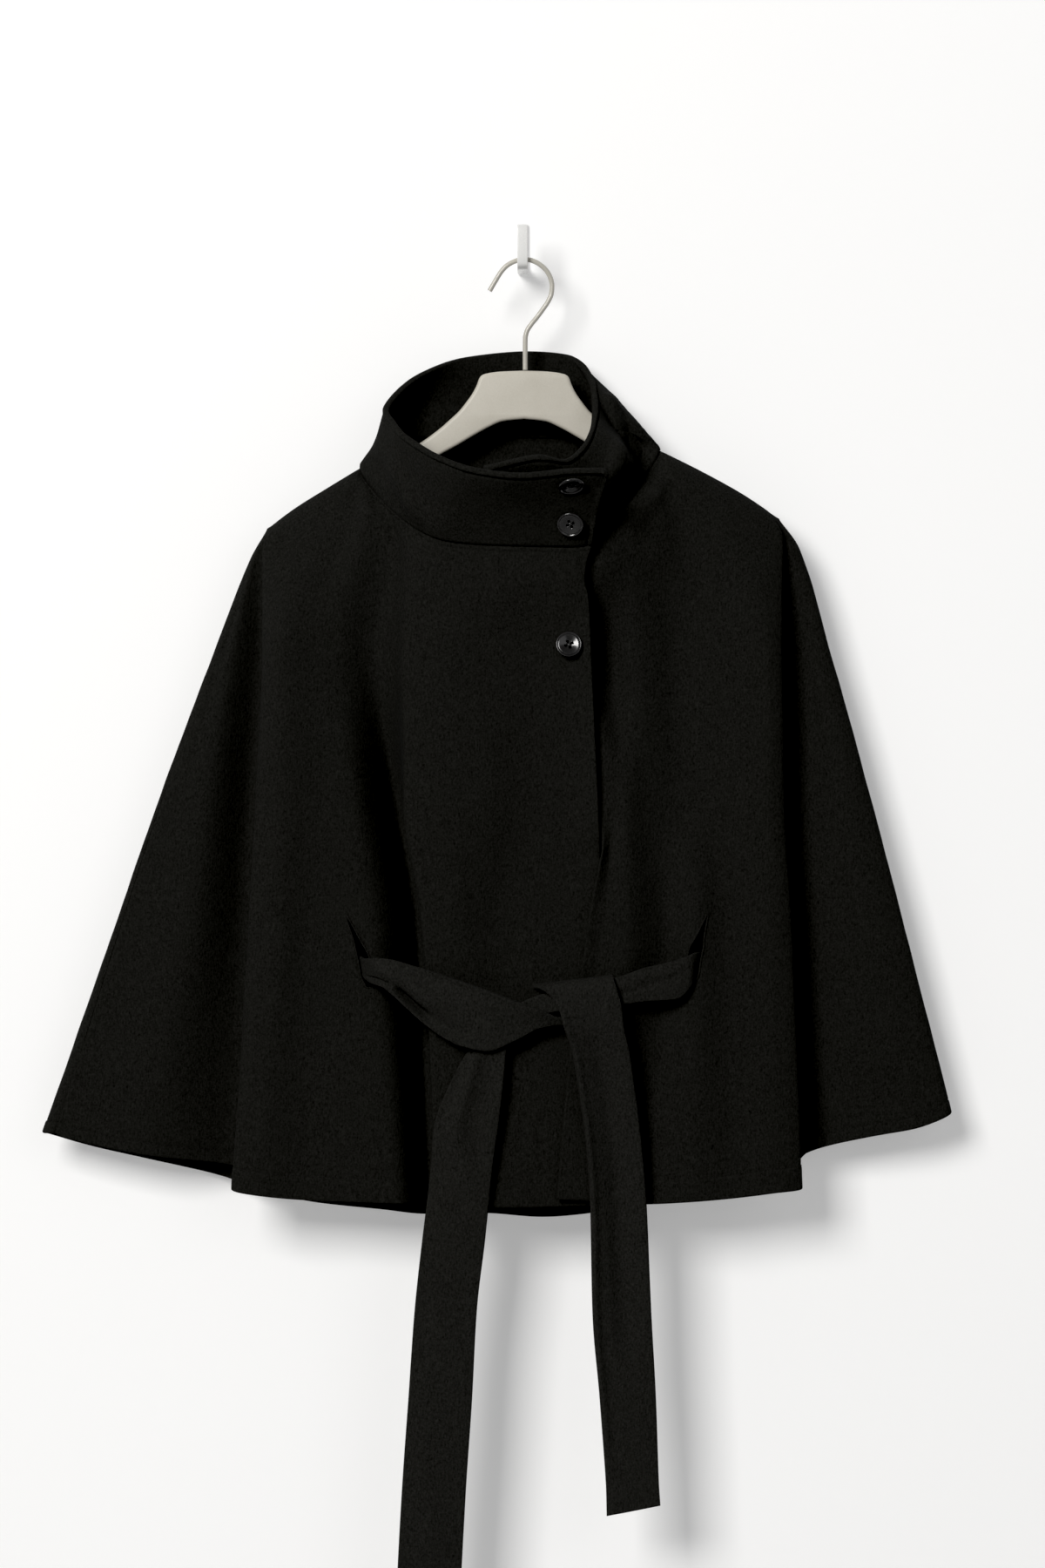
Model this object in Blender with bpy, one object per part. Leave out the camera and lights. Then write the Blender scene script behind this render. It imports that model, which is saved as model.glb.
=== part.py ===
# Wool cloak with a funnel collar and a tie belt, on a flat hanger that hangs from a small wall hook.
# Metres, +Z up. The wall is the plane y = 0 and the cloak faces -Y. Depth is the distance from the wall.
# The origin is on the back of the wall hook's plate. Right and left are the wearer's, so right is at -X.
# Every cloth piece is a thin wall on a grid: across it run named folds, down it run named levels.

import math

import bmesh
import bpy
import numpy as np
from mathutils import Vector

MM = 0.001
SEAM_GAP = 0.45 * MM            # between two cloth pieces that are sewn together
CLOTH = 2.0 * MM                # thickness of the wool coating
BELT_CLOTH = 2.6 * MM           # the belt is the same cloth, doubled and pressed

# Levels down a panel, as heights.
YOKE_DROP = 25                  # the first level lies this far below the neckline or shoulder, in mm
CHEST, WAIST, BELT = -340, -470, -570
# Rows of the grid, as shares of the way from the top edge to the hem. The fronts swap at 0.43 to 0.46.
ROWS = (0, 0.008, 0.022, 0.045, 0.08, 0.125, 0.175, 0.23, 0.29, 0.35, 0.40,
        0.4293, 0.4457, 0.462, 0.50, 0.56, 0.62, 0.68, 0.74, 0.81, 0.89, 1.0)

# The neck, from the end of the flap round to the end of the underlap, in mm.
# The seam is where the panels meet the collar, the knee is where the collar bends, the rim is its top.
#    seam x, depth, z       knee x, depth, z       rim x, depth, z
NECK = (
    (57.7, 108, -253.8,     62.2, 118, -225.7,     72.5, 149, -192.4),              # flap end
    (39.2, 109, -256.0,     40.0, 119, -225.7,     39.2, 152, -193.0),              # flap, at the buttons
    (-1.5, 109, -255.3,     -1.5, 118, -227.2,     -1.5, 152, -196.8),              # front, middle
    (-40.0, 106, -253.8,    -40.0, 115, -227.2,    -36.3, 147, -193.0),
    (-68.0, 100, -250.0,    -68.8, 108, -233.0,    -64.4, 136, -183.5),
    (-88.8, 91, -241.0,     -89.5, 100, -225.0,    -85.0, 122, -172.4),
    (-108.8, 78, -225.7,    -105.8, 90, -200.5,    -100.6, 107, -160.6),
    (-125.8, 63, -208.0,    -117.0, 73, -182.0,    -110.0, 91, -148.7),
    (-139.9, 46, -186.5,    -125.8, 54, -166.5,    -116.2, 74, -136.9),             # right neck point
    (-108.0, 26, -170.0,    -106.0, 26, -146.0,    -94.7, 46, -110.3),
    (-55.0, 17, -161.0,     -55.0, 16, -132.0,     -50.3, 24, -89.6),
    (0.0, 15, -158.0,       1.0, 14, -128.0,       2.2, 18, -83.9),                 # back, middle
    (58.0, 18, -160.0,      52.0, 17, -130.0,      37.5, 22, -87.3),
    (98.0, 28, -164.0,      86.0, 28, -137.0,      53.5, 34, -105.5),
    (115.5, 46, -171.6,     90.0, 58, -146.0,      57.3, 50, -117.5),               # left neck point
    (107.3, 56, -187.2,     87.0, 53, -168.0,      58.5, 66, -131.0),               # deep crease
    (97.0, 68, -203.5,      80.0, 96, -175.4,      57.0, 88, -149.5),               # ridge in front of it
    (80.0, 84, -224.2,      66.6, 108, -194.6,     48.8, 112, -170.2),
    (57.7, 94, -240.5,      48.8, 110, -214.6,     31.8, 129, -183.5),          # here the flap covers it
    (28.0, 100, -249.4,     25.2, 110, -223.5,     11.8, 139, -180.6),
    (-23.7, 100, -250.9,    -23.7, 109, -225.7,    -34.0, 139, -190.2),             # underlap end
)
FLAP_END, RIGHT_NECK, LEFT_NECK, UNDERLAP_END = 0, 8, 14, 20
COLLAR_ROWS = (0, 0.14, 0.34, 0.5, 0.68, 0.86, 1.0)
KNEE_AT = 0.42                  # the knee's share of the collar's height
FLAP_CORNER = 7                 # radius of the flap's top corner, in mm

# Shoulder seams from the neck point to the tip of the hanger: x, depth, z.
RIGHT_SHOULDER = ((-139.9, 46, -186.5), (-169, 44, -204), (-193, 43, -219), (-219, 42, -238))
LEFT_SHOULDER = ((115.5, 46, -171.6), (149, 44, -188), (187, 43, -209), (217, 42, -229.5))
SHOULDER_ROUND = 9              # how far the cloth steps off the shoulder line over the hanger
SHOULDER_FALL = 4               # within about this far down

# The cloak's outline from the shoulder tip to the hem: z, x. Front and back meet along it.
RIGHT_OUTLINE = ((-238, -219), (-263, -233), (-307, -251), (-381, -278), (-455, -306),
                 (-529, -332), (-603, -358), (-677, -385), (-752.5, -410.5))
LEFT_OUTLINE = ((-229.5, 217), (-248, 231.5), (-277, 241), (-307, 250), (-381, 272),
                (-455, 292), (-529, 311), (-603, 331), (-677, 351), (-735, 364))
EDGE_DEPTH = 42                 # depth of the middle of the fold at the outline
EDGE_ROUND = 7.5                # its radius
# How far the overarm seam lies round to the front, at the top, yoke, chest, waist, belt and hem.
RIGHT_SEAM_SHIFT = (0, 0, 2, 6, 9, 15)
LEFT_SEAM_SHIFT = (0, 0, 0, 0, 0, 0)

# Front edges, below the neckline: z, x, depth. The right edge lies on top down to the swap, then the left.
RIGHT_EDGE = ((-269, 52.5, 107), (-284, 51, 106), (-297, 54, 105), (-321, 55.5, 103), (-358, 57, 101),
              (-418, 60, 98), (-480, 62.8, 96), (-492, 63.3, 95.5), (-501, 63.9, 93), (-510, 64.1, 90),
              (-522, 64.3, 88.5), (-560, 66, 87), (-640, 69, 86), (-720, 66, 86), (-811, 60, 86))
LEFT_EDGE = ((-300, -18, 96.5), (-350, 0, 92.5), (-400, 24, 88), (-450, 48, 87), (-480, 61.3, 89.5),
             (-492, 64.8, 91), (-501, 65.6, 93.5), (-510, 65.5, 96), (-522, 63.2, 96.6), (-560, 56, 96),
             (-615, 48, 95), (-695, 37, 94), (-805.5, 27.4, 93))

# Folds of the right front, from its front edge to the overarm seam, in mm.
# Top is 0 at the front edge, 1 at the neck point and 2 at the shoulder tip. Steps are columns to the next.
#   top, steps,  yoke x, depth, chest x, depth, waist x, depth, belt x, depth, hem x, depth, z
RIGHT_FOLDS = (
    (0.14, 3,    38, 108,    32, 98,     30, 88,     30, 84,     34, 85,     -812), # button line
    (0.28, 2,    -4, 108,    -12, 97,    -8, 91,     -16, 84,    -12, 86,    -813), # middle
    (0.43, 3,    -47, 104,   -60, 101,   -60, 99,    -60, 94,    -48, 91,    -813),
    (0.65, 2,    -93, 93,    -100, 96,   -101, 95,   -86, 93,    -73, 90,    -812), # crest of the trough
    (0.72, 2,    -100, 85,   -108, 83,   -99, 67,    -82, 62,    -68, 64,    -812.5),# its overhang
    (0.80, 3,    -111, 74,   -127, 69,   -109, 46,   -92, 42,    -80, 48,    -812.5),# bottom of the trough
    (0.90, 3,    -132, 74,   -156, 80,   -144, 79,   -130, 78,   -108, 82,   -810), # ridge with the slit
    (1.00, 2,    -148, 61,   -180, 84,   -176, 81,   -180, 78,   -180, 78,   -807.5),# soft trough
    (1.45, 3,    -184, 62,   -204, 88,   -205, 86,   -208, 84,   -222, 84,   -803.5),
    (1.86, 2,    -222, 58,   -221, 73,   -227.5, 75, -233, 75,   -247, 78,   -798.5),# side fold
    (1.89, 2,    -219, 54,   -213, 60,   -213, 60,   -214, 58,   -222, 58,   -791), # its return
    (1.92, 2,    -225, 50,   -226, 42,   -234, 34,   -240, 33,   -252, 34,   -780), # valley
    (1.95, 2,    -228, 50,   -248, 53,   -270, 55,   -284, 56,   -322, 54,   -771), # sleeve, middle
    (1.975, 1,   -230, 49,   -254, 50,   -294, 51,   -322, 51,   -372, 50.5, -761), # sleeve, outer
)
LEFT_FOLDS = (
    (0.14, 2,    2, 98,      34, 91,     74, 88,     68, 92,     46, 92.5,   -806.2),# lap
    (0.32, 3,    60, 97,     71, 71,     85, 90,     86, 93,     70, 90,     -808.5),# ridge beside the edge
    (0.55, 3,    86, 90,     95, 82,     108, 81,    120, 78,    102, 84,    -810.2),# soft trough
    (0.80, 3,    112, 78,    131, 72,    134, 75,    145, 88,    142, 87,    -808), # ridge with the slit
    (1.00, 2,    128, 66,    162, 75,    162, 76,    172, 80,    180, 82.5,  -805), # soft trough
    (1.50, 3,    176, 64,    203, 83,    205, 83,    206, 83,    210, 85,    -801),
    (1.87, 2,    219, 58,    218, 74,    220, 75,    226, 75,    235, 79,    -797.5),# side fold
    (1.90, 2,    217, 54,    210, 59,    208, 59,    210, 58,    214, 57,    -787), # its return
    (1.93, 2,    222, 50,    223, 47,    230, 43,    237, 42,    245, 40,    -768), # valley
    (1.955, 2,   226, 50,    240, 47,    260, 48,    277, 48,    298, 48,    -755), # sleeve, middle
    (1.98, 1,    229, 49,    251, 49.5,  280, 51,    302, 51,    336, 50,    -748), # sleeve, outer
)
ROLL = 7                        # distance from the overarm seam to the last fold of a front, in mm
ROLL_TOP, ROLL_STEPS = 1.99, 2
RIGHT_CORNER, LEFT_CORNER = -752.5, -735     # height of the sleeves' outer corners

# Folds of the back from the right overarm seam to the left one. Share is 0 to 1 along the right shoulder,
# 1 to 2 along the neck and 2 to 3 along the left shoulder.
#   share,   yoke x, depth, chest x, depth, waist x, depth, belt x, depth, hem x, depth, z
BACK_FOLDS = (
    (0.32,   -229, 33,   -252, 32,   -292, 31,   -320, 30,   -372, 31,   -764),
    (0.46,   -226, 30,   -243, 27,   -268, 25,   -286, 24,   -322, 23,   -776),
    (0.60,   -219, 27,   -227, 20,   -240, 17,   -246, 16,   -258, 15,   -791.5),   # side ridge
    (0.72,   -205, 25,   -208, 20,   -214, 21,   -218, 22,   -222, 24,   -804),     # trough
    (0.86,   -176, 25,   -178, 16,   -180, 16,   -178, 15,   -172, 14,   -815),
    (1.00,   -146, 27,   -146, 18,   -142, 19,   -138, 19,   -126, 21,   -819),
    (1.25,   -94, 19,    -96, 15,    -92, 15,    -90, 14,    -82, 13,    -824),
    (1.45,   -42, 15,    -46, 17,    -42, 18,    -38, 19,    -34, 22,    -822.5),
    (1.62,   14, 15,     8, 15,      10, 15,     12, 14,     14, 14,     -826.5),
    (1.80,   62, 17,     62, 17,     62, 18,     60, 19,     58, 21,     -822.5),
    (2.00,   120, 27,    112, 15,    112, 15,    110, 14,    106, 13,    -813),
    (2.15,   156, 25,    158, 17,    160, 18,    162, 19,    164, 21,    -806),
    (2.28,   196, 25,    198, 19,    204, 18,    208, 17,    214, 16,    -798),
    (2.41,   217, 27,    224, 21,    232, 19,    238, 18,    250, 18,    -765.5),
    (2.54,   224, 30,    240, 27,    260, 25,    276, 24,    298, 24,    -755.5),
    (2.68,   228, 33,    250, 32,    278, 31,    300, 30,    334, 31,    -746),
)
BACK_ROLLS = (0, 6, 12, 19)     # distances behind the overarm seam, in mm
BACK_ROLL_SHARES = (0, 0.06, 0.12, 0.19)
BACK_NECK_COLUMNS = 9

# Slits that the belt comes through: z, middle x, half width. Their cutters reach through the fronts only.
RIGHT_SLIT = ((-566, -151, 0.4), (-585, -142.5, 2.4), (-602, -136, 4.8), (-616, -133, 5.2),
              (-627, -131, 2.4))
LEFT_SLIT = ((-566, 154.7, 0.4), (-584, 148.5, 3.4), (-595, 145, 5.8), (-612, 142, 5.8),
             (-625, 141.6, 1.8))
SLIT_POINTS = 9
SLIT_CUTTER_DEPTH, SLIT_CUTTER_LONG = 83 * MM, 46 * MM

# Belt stretches. One edge x, depth, z; the other edge x, depth, z; how far the middle stands out.
BELT_SLING = (
    (-145.5, 68, -599,   -143.5, 68, -615,   0),
    (-140, 73.5, -600,   -137.5, 73.5, -616, 0),
    (-135.5, 81, -602,   -133, 81, -618,     0),
    (-131, 89, -602,     -128, 88.5, -620,   0),
    (-124, 95, -602,     -120.5, 94.5, -625, -1),
    (-113, 98.5, -602,   -109, 97, -634,     -1),
    (-91, 101, -607.5,   -80, 101, -659,     -1.5),
    (-64, 103.5, -616,   -54, 104, -675,     -1),
    (-30, 107, -628,     -30, 104.5, -680,   0),
    (-3, 108.5, -638.6,  -7, 104, -676,      1),
    (17, 107, -647,      14, 103.5, -669,    1),
    (30, 103, -651,      29, 102.5, -664,    0),
    (41, 99.5, -650,     43, 99.2, -665,     0),
)
BELT_LOOP = (
    (36, 99.2, -645,     77, 99.2, -652,     0),
    (26, 99.6, -633,     76, 99.6, -634,     0),
    (14, 101, -626,      75, 101, -621,      0),
    (7, 105, -622.5,     75, 105, -617.5,    0),
    (8, 109, -626,       76, 109.4, -621,    0),
    (17, 110.5, -633,    79, 111, -631,      1),
    (28, 110.5, -645,    82, 111, -642,      1.5),
    (34, 109.5, -662,    84, 110, -660,      2),
    (39.5, 106.5, -677,  88, 107.5, -677,    2),
    (46.6, 102, -717,    94, 103, -717,      2),
    (52, 99.5, -758,     99, 100, -758,      1.5),
    (55.5, 97.5, -808,   103, 98, -808,      1),
    (57.5, 96, -899,     107, 96.5, -899,    1.5),
    (63.6, 95.5, -973,   111, 96, -973,      1),
    (69, 95, -1050,      113.5, 96, -1045,   1),
    (69.5, 95, -1072,    114.7, 96, -1063,   1),
)
BELT_STRAP = (
    (153, 70, -597,      151.5, 70, -612,    0),
    (149.5, 79, -597,    148, 79, -614,      0),
    (144.5, 90, -597,    143, 90, -618,      0),
    (137, 95, -598,      136, 94.5, -624,    1),
    (124, 97.5, -606,    124, 97, -636,      1),
    (101.4, 101, -612,   101.4, 100.5, -638.4, 1),
    (80, 104, -621,      80, 103.5, -641,    0),
    (60, 105, -625,      60, 104.5, -642,    0),
    (40, 105, -629,      38, 104.5, -645,    0),
    (22, 103.5, -635,    17, 102.5, -649,    0),
    (4, 100.5, -643,     0, 99, -657,        0),
    (-14, 98, -651,      -11, 97.5, -665,    0),
)
BELT_TAIL = (
    (-17, 98, -653,      -12.5, 97.5, -668,  0),
    (-32, 97.5, -662,    -15, 98, -680,      0),
    (-47, 97, -679,      -16, 98, -692,      0.5),
    (-62, 97, -706,      -18, 98.5, -712,    1.5),
    (-76, 97, -744,      -21.5, 98, -742,    2),
    (-79, 96, -781,      -27, 97, -781,      2),
    (-86, 95, -839,      -33, 96, -839,      1.5),
    (-92.5, 94.5, -899,  -40, 95, -899,      1),
    (-97.7, 94, -973,    -44, 94.5, -973,    1.5),
    (-103, 93.5, -1047,  -49, 94, -1047,     1),
    (-107, 93, -1120,    -53, 93.5, -1120,   1),
    (-110, 92.5, -1190,  -56, 93, -1179,     1),
)
BELT_BACK = (
    (-147.5, 66, -598,   -146, 66, -616,     0),
    (-161, 54, -592,     -160, 54, -628,     0),
    (-163, 42, -588,     -163, 42, -638,     0),
    (-148, 33, -586,     -148, 33, -638,     0),
    (-110, 29, -586,     -110, 29, -638,     0),
    (0, 27, -590,        0, 27, -642,        0),
    (110, 29, -586,      110, 29, -638,      0),
    (150, 33, -585,      150, 33, -637,      0),
    (166, 42, -586,      166, 42, -636,      0),
    (165, 54, -591,      164, 54, -626,      0),
    (154, 68, -596,      153, 68, -613,      0),
)

# Buttons: diameter 22 mm, four holes. Two hang on the flap, tilted by their threads,
# one is on the right front.
BUTTON_RADIUS = 11 * MM
BUTTON_HOLE = 1.0 * MM
BUTTON_HOLES_AT = 2.5 * MM
HOLE_CUTTER_DEPTH = 6 * MM
#    x, z, how far it stands off the cloth in mm, the way it faces
BUTTONS = (
    (39.0, -204.0,   2.7,   0.13, -0.58, -0.80),
    (38.6, -236.0,   2.4,   -0.12, -0.87, -0.48),
    (37.7, -337.4,   1.8,   0.06, -1, 0.02),
)

# Hanger: a flat board with a raised middle, a wire hook and the wall hook that it hangs on.
HANGER_DEPTH = 43.5 * MM
HANGER_THICK = 8 * MM
# Half of its outline from the middle of the top to the tip and back underneath, x, z in mm.
HANGER_TOP = ((0, -102.6), (20, -103.4), (34, -105.6), (37.5, -107.8), (41, -116), (44.5, -122.5),
              (49.5, -129.5), (55.5, -137), (63.5, -144.5), (72, -152), (90, -165), (120, -180.5),
              (150, -197.5), (180, -216), (198, -227), (205, -233))
HANGER_UNDER = ((206, -239), (202, -244.5), (194, -245.5), (170, -234), (140, -217.5), (100, -193),
                (71, -174),
                (58, -167), (44.5, -159), (31, -151.5), (18, -146), (0, -144))
WIRE_RADIUS = 2.1 * MM
# The hook in its own plane: x, z in mm.
HOOK = ((0.8, -102), (0.8, -92), (0.8, -82), (0.9, -75), (2.2, -69), (5.6, -63.5), (10.8, -57), (16, -50),
        (20.4, -43.4), (23.2, -36.5), (23.7, -30), (22.4, -23.8), (19.4, -18), (15, -13.4), (9.4, -9.8),
        (3.2, -8), (-3.2, -8), (-9.2, -9.8), (-14.8, -13), (-19.4, -17.8), (-23.2, -23.6), (-26.6, -29.4),
        (-29.6, -34.6))
# The wall hook from the side: depth, z in mm, round its outline. It is 9 mm wide.
WALL_HOOK = ((0, 27), (2.6, 26), (3.4, -8), (7, -11.2), (38, -11.8), (44.5, -11.7), (47.4, -9.8),
             (48, -4), (48.4, 19), (49.8, 21.4), (51.8, 19.4), (52.4, -6), (50.8, -13), (45, -16.2),
             (6, -16.6), (0, -15))
WALL_HOOK_WIDTH = 9 * MM
WALL_HOOK_X = -1.5 * MM


def smooth(knots, values, at):
    """A smooth curve through the rows of values, with no overshoot between them."""
    knots = np.asarray(knots, float)
    values = np.asarray(values, float).reshape(len(knots), -1)
    at = np.clip(np.atleast_1d(np.asarray(at, float)), knots[0], knots[-1])
    span = np.diff(knots)[:, None]
    slope = np.diff(values, axis=0) / span
    tangent = np.zeros_like(values)
    same = slope[:-1] * slope[1:] > 0
    total = np.where(same, slope[:-1] + slope[1:], 1)
    tangent[1:-1] = np.where(same, 2 * slope[:-1] * slope[1:] / total, 0)
    tangent[0], tangent[-1] = slope[0], slope[-1]
    i = np.clip(np.searchsorted(knots, at, side="right") - 1, 0, len(knots) - 2)
    t = ((at - knots[i]) / span[i, 0])[:, None]
    h = span[i]
    return ((2 * t**3 - 3 * t**2 + 1) * values[i] + (t**3 - 2 * t**2 + t) * h * tangent[i]
            + (3 * t**2 - 2 * t**3) * values[i + 1] + (t**3 - t**2) * h * tangent[i + 1])


def place(x, depth, z):
    """Millimetres across, out from the wall and up, as a point in metres."""
    return np.stack([np.asarray(x), -np.asarray(depth), np.asarray(z)], axis=-1) * MM


def unit(vectors):
    return vectors / np.maximum(np.linalg.norm(vectors, axis=-1, keepdims=True), 1e-12)


def stepped(knots, steps):
    """The knots with steps - 1 even points between each and the next."""
    found = [np.linspace(a, b, n, endpoint=False) for a, b, n in zip(knots[:-1], knots[1:], steps)]
    return np.concatenate(found + [knots[-1:]])


# ---- shared lines -----------------------------------------------------------------------------------

def neck_line(row, column):
    """Point of the neck table at a place round the neck: column 0 is the seam, 1 the knee, 2 the rim."""
    table = np.array(NECK)[:, 3 * column:3 * column + 3]
    return smooth(range(len(NECK)), table, row)


def top_line(side, top):
    """x, depth, z along a front's top edge: 0 to 1 is the neckline, 1 to 2 the shoulder."""
    top = np.atleast_1d(np.asarray(top, float))
    start, end = (FLAP_END, RIGHT_NECK) if side == "right" else (UNDERLAP_END, LEFT_NECK)
    shoulder = RIGHT_SHOULDER if side == "right" else LEFT_SHOULDER
    neck = neck_line(start + (end - start) * np.clip(top, 0, 1), 0)
    arm = smooth(np.linspace(1, 2, len(shoulder)), shoulder, np.clip(top, 1, 2))
    return np.where(top[:, None] <= 1, neck, arm)


def overarm(side, behind):
    """x and depth at each level, at a distance behind the overarm seam (in front of it if negative)."""
    outline = RIGHT_OUTLINE if side == "right" else LEFT_OUTLINE
    shifts = RIGHT_SEAM_SHIFT if side == "right" else LEFT_SEAM_SHIFT
    inward = 1 if side == "right" else -1
    tip, corner = outline[0][0], outline[-1][0]
    heights = (tip - YOKE_DROP, CHEST, WAIST, BELT, corner)
    table = np.array(outline)[::-1]
    found = []
    for z, shift in zip(heights, shifts[1:]):
        x = smooth(table[:, 0], table[:, 1], z)[0, 0]
        along = shift - behind
        quarter = EDGE_ROUND * math.pi / 2
        angle = np.clip(along, -quarter, quarter) / EDGE_ROUND
        flat = max(abs(along) - quarter, 0)
        found += [x + inward * (EDGE_ROUND * (1 - math.cos(angle)) + flat),
                  EDGE_DEPTH + EDGE_ROUND * math.sin(angle)]
    return found + [corner]


# ---- panels -----------------------------------------------------------------------------------------

def drape(tops, levels, round_off):
    """The grid of a panel. tops: x, depth, z of each column; levels: yoke to hem x, depth, then hem z."""
    grid = np.zeros((len(tops), len(ROWS), 3))
    rows = np.array(ROWS)
    for i, (top, level) in enumerate(zip(tops, levels)):
        off = round_off[i]
        heights = np.array([top[2], top[2] - YOKE_DROP, CHEST, WAIST, BELT, level[10]])
        knots = np.vstack([[top[0], top[1] + off], level[:10].reshape(5, 2)])
        z = top[2] + (level[10] - top[2]) * rows
        found = smooth(-heights, knots, -z)
        found[:, 1] -= off * np.exp((z - top[2]) / SHOULDER_FALL)
        grid[i] = place(found[:, 0], found[:, 1], z)
    return grid


def front_grid(side):
    """(grid, tops) of a front. tops are the columns' places on top_line."""
    folds = RIGHT_FOLDS if side == "right" else LEFT_FOLDS
    edge = np.array(RIGHT_EDGE if side == "right" else LEFT_EDGE)
    hem_edge = edge[-1]
    at_levels = smooth(-edge[:, 0], edge[:, 1:], -np.array([edge[0, 0], CHEST, WAIST, BELT, hem_edge[0]]))
    first = [0, 2, *at_levels.ravel(), hem_edge[0]]
    last = [[ROLL_TOP, ROLL_STEPS, *overarm(side, -ROLL)], [2, 1, *overarm(side, 0)]]
    corner = RIGHT_CORNER if side == "right" else LEFT_CORNER
    last[0][-1] = corner - 3
    table = np.array([first, *folds, *last], float)
    columns = stepped(np.arange(len(table), dtype=float), table[:-1, 1].astype(int))
    levels = smooth(range(len(table)), table[:, 2:], columns)
    tops = smooth(range(len(table)), table[:, :1], columns)[:, 0]
    at_top = top_line(side, tops)
    shoulder = np.clip((tops - 0.9) / 0.12, 0, 1)
    grid = drape(at_top, levels, SHOULDER_ROUND * shoulder * (2 - tops.clip(1.9, 2)) / 0.1)
    # The front edge has its own line.
    line = np.vstack([[at_top[0][2], at_top[0][0], at_top[0][1]], edge])
    z = grid[0, :, 2] / MM
    found = smooth(-line[:, 0], line[:, 1:], -z)
    wanted = place(found[:, 0], found[:, 1], z)
    moved = wanted - grid[0]
    for i, share in enumerate((1, 0.45)):
        grid[i] += moved * share
    return grid, tops


def back_grid(right_tops, left_tops):
    """The back's grid. Its shoulder columns are the fronts' own, so the seams meet point for point."""
    right = right_tops[right_tops >= 1][::-1]
    left = left_tops[left_tops >= 1]
    neck = np.linspace(RIGHT_NECK, LEFT_NECK, BACK_NECK_COLUMNS + 1)[1:-1]
    at_top = np.vstack([top_line("right", right), neck_line(neck, 0), top_line("left", left)])
    shares = np.concatenate([np.linspace(0, 1, len(right)), 1 + np.arange(1, len(neck) + 1) / (len(neck) + 1),
                             np.linspace(2, 3, len(left))])
    rows = [[share, *overarm("right", behind)] for share, behind in zip(BACK_ROLL_SHARES, BACK_ROLLS)]
    rows += [list(row) for row in BACK_FOLDS]
    rows += [[3 - share, *overarm("left", behind)]
             for share, behind in zip(BACK_ROLL_SHARES[::-1], BACK_ROLLS[::-1])]
    table = np.array(rows, float)
    levels = smooth(table[:, 0], table[:, 1:], shares)
    tips = np.concatenate([right, np.ones(len(neck)), left])
    on_shoulder = np.concatenate([np.ones(len(right)), np.zeros(len(neck)), np.ones(len(left))])
    round_off = -SHOULDER_ROUND * on_shoulder * (2 - tips.clip(1.9, 2)) / 0.1
    return drape(at_top, levels, round_off), neck


def collar_grid(places):
    """The collar from the flap's end round to the underlap's end, from the seam up to the rim."""
    rows = np.array(COLLAR_ROWS)
    seam, knee, rim = (neck_line(places, k) for k in range(3))
    grid = np.zeros((len(places), len(rows), 3))
    for i in range(len(places)):
        found = smooth((0, KNEE_AT, 1), (seam[i], knee[i], rim[i]), rows)
        grid[i] = place(found[:, 0], found[:, 1], found[:, 2])
    # The flap's top corner is rounded.
    down = unit(grid[0, 0] - grid[0, -1])
    inward = unit(grid[2, -1] - grid[0, -1])
    grid[0, -1] += (down + inward) * FLAP_CORNER * 0.3 * MM
    return grid


# ---- walls ------------------------------------------------------------------------------------------

def grid_normals(grid, towards):
    """Unit normals of a grid, on the side that the vector or the points in towards lie."""
    normal = unit(np.cross(np.gradient(grid, axis=0), np.gradient(grid, axis=1)))
    sign = np.sign((normal * towards).sum(axis=-1).mean())
    return normal * (sign or 1)


class Cloth:
    """A panel's middle surface with the directions that its wall is thickened along."""

    def __init__(self, grid, towards):
        self.grid = grid.copy()
        self.flat = grid.copy()
        self.normal = grid_normals(grid, towards)

    def wall(self, thick):
        return self.grid - self.normal * thick / 2, self.grid + self.normal * thick / 2


def sew(first, first_line, second, second_line):
    """Mitres two panels along a shared line and parts them by the seam gap.

    Each line is (columns, rows, columns inside, rows inside) of the panel's own grid.
    """
    a, b = first.flat[first_line[0], first_line[1]], second.flat[second_line[0], second_line[1]]
    into_a = unit(first.flat[first_line[2], first_line[3]] - a)
    into_b = unit(second.flat[second_line[2], second_line[3]] - b)
    tangent = unit(np.gradient(a, axis=0))
    normal_a, normal_b = unit(np.cross(tangent, into_a)), unit(np.cross(into_b, tangent))
    shown = (normal_a * first.normal[first_line[0], first_line[1]]).sum(axis=-1, keepdims=True)
    sign = np.sign(shown.mean()) or 1
    normal_a, normal_b = normal_a * sign, normal_b * sign
    normal = unit(normal_a + normal_b)
    reach = 1 / np.maximum((normal * normal_a).sum(axis=-1, keepdims=True), 0.6)
    across = into_a - (into_a * normal).sum(axis=-1, keepdims=True) * normal
    across = unit(across - (across * tangent).sum(axis=-1, keepdims=True) * tangent)
    first.grid[first_line[0], first_line[1]] += across * SEAM_GAP / 2
    second.grid[second_line[0], second_line[1]] -= across * SEAM_GAP / 2
    first.normal[first_line[0], first_line[1]] = normal * reach
    second.normal[second_line[0], second_line[1]] = normal * reach
    return normal * reach


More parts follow.
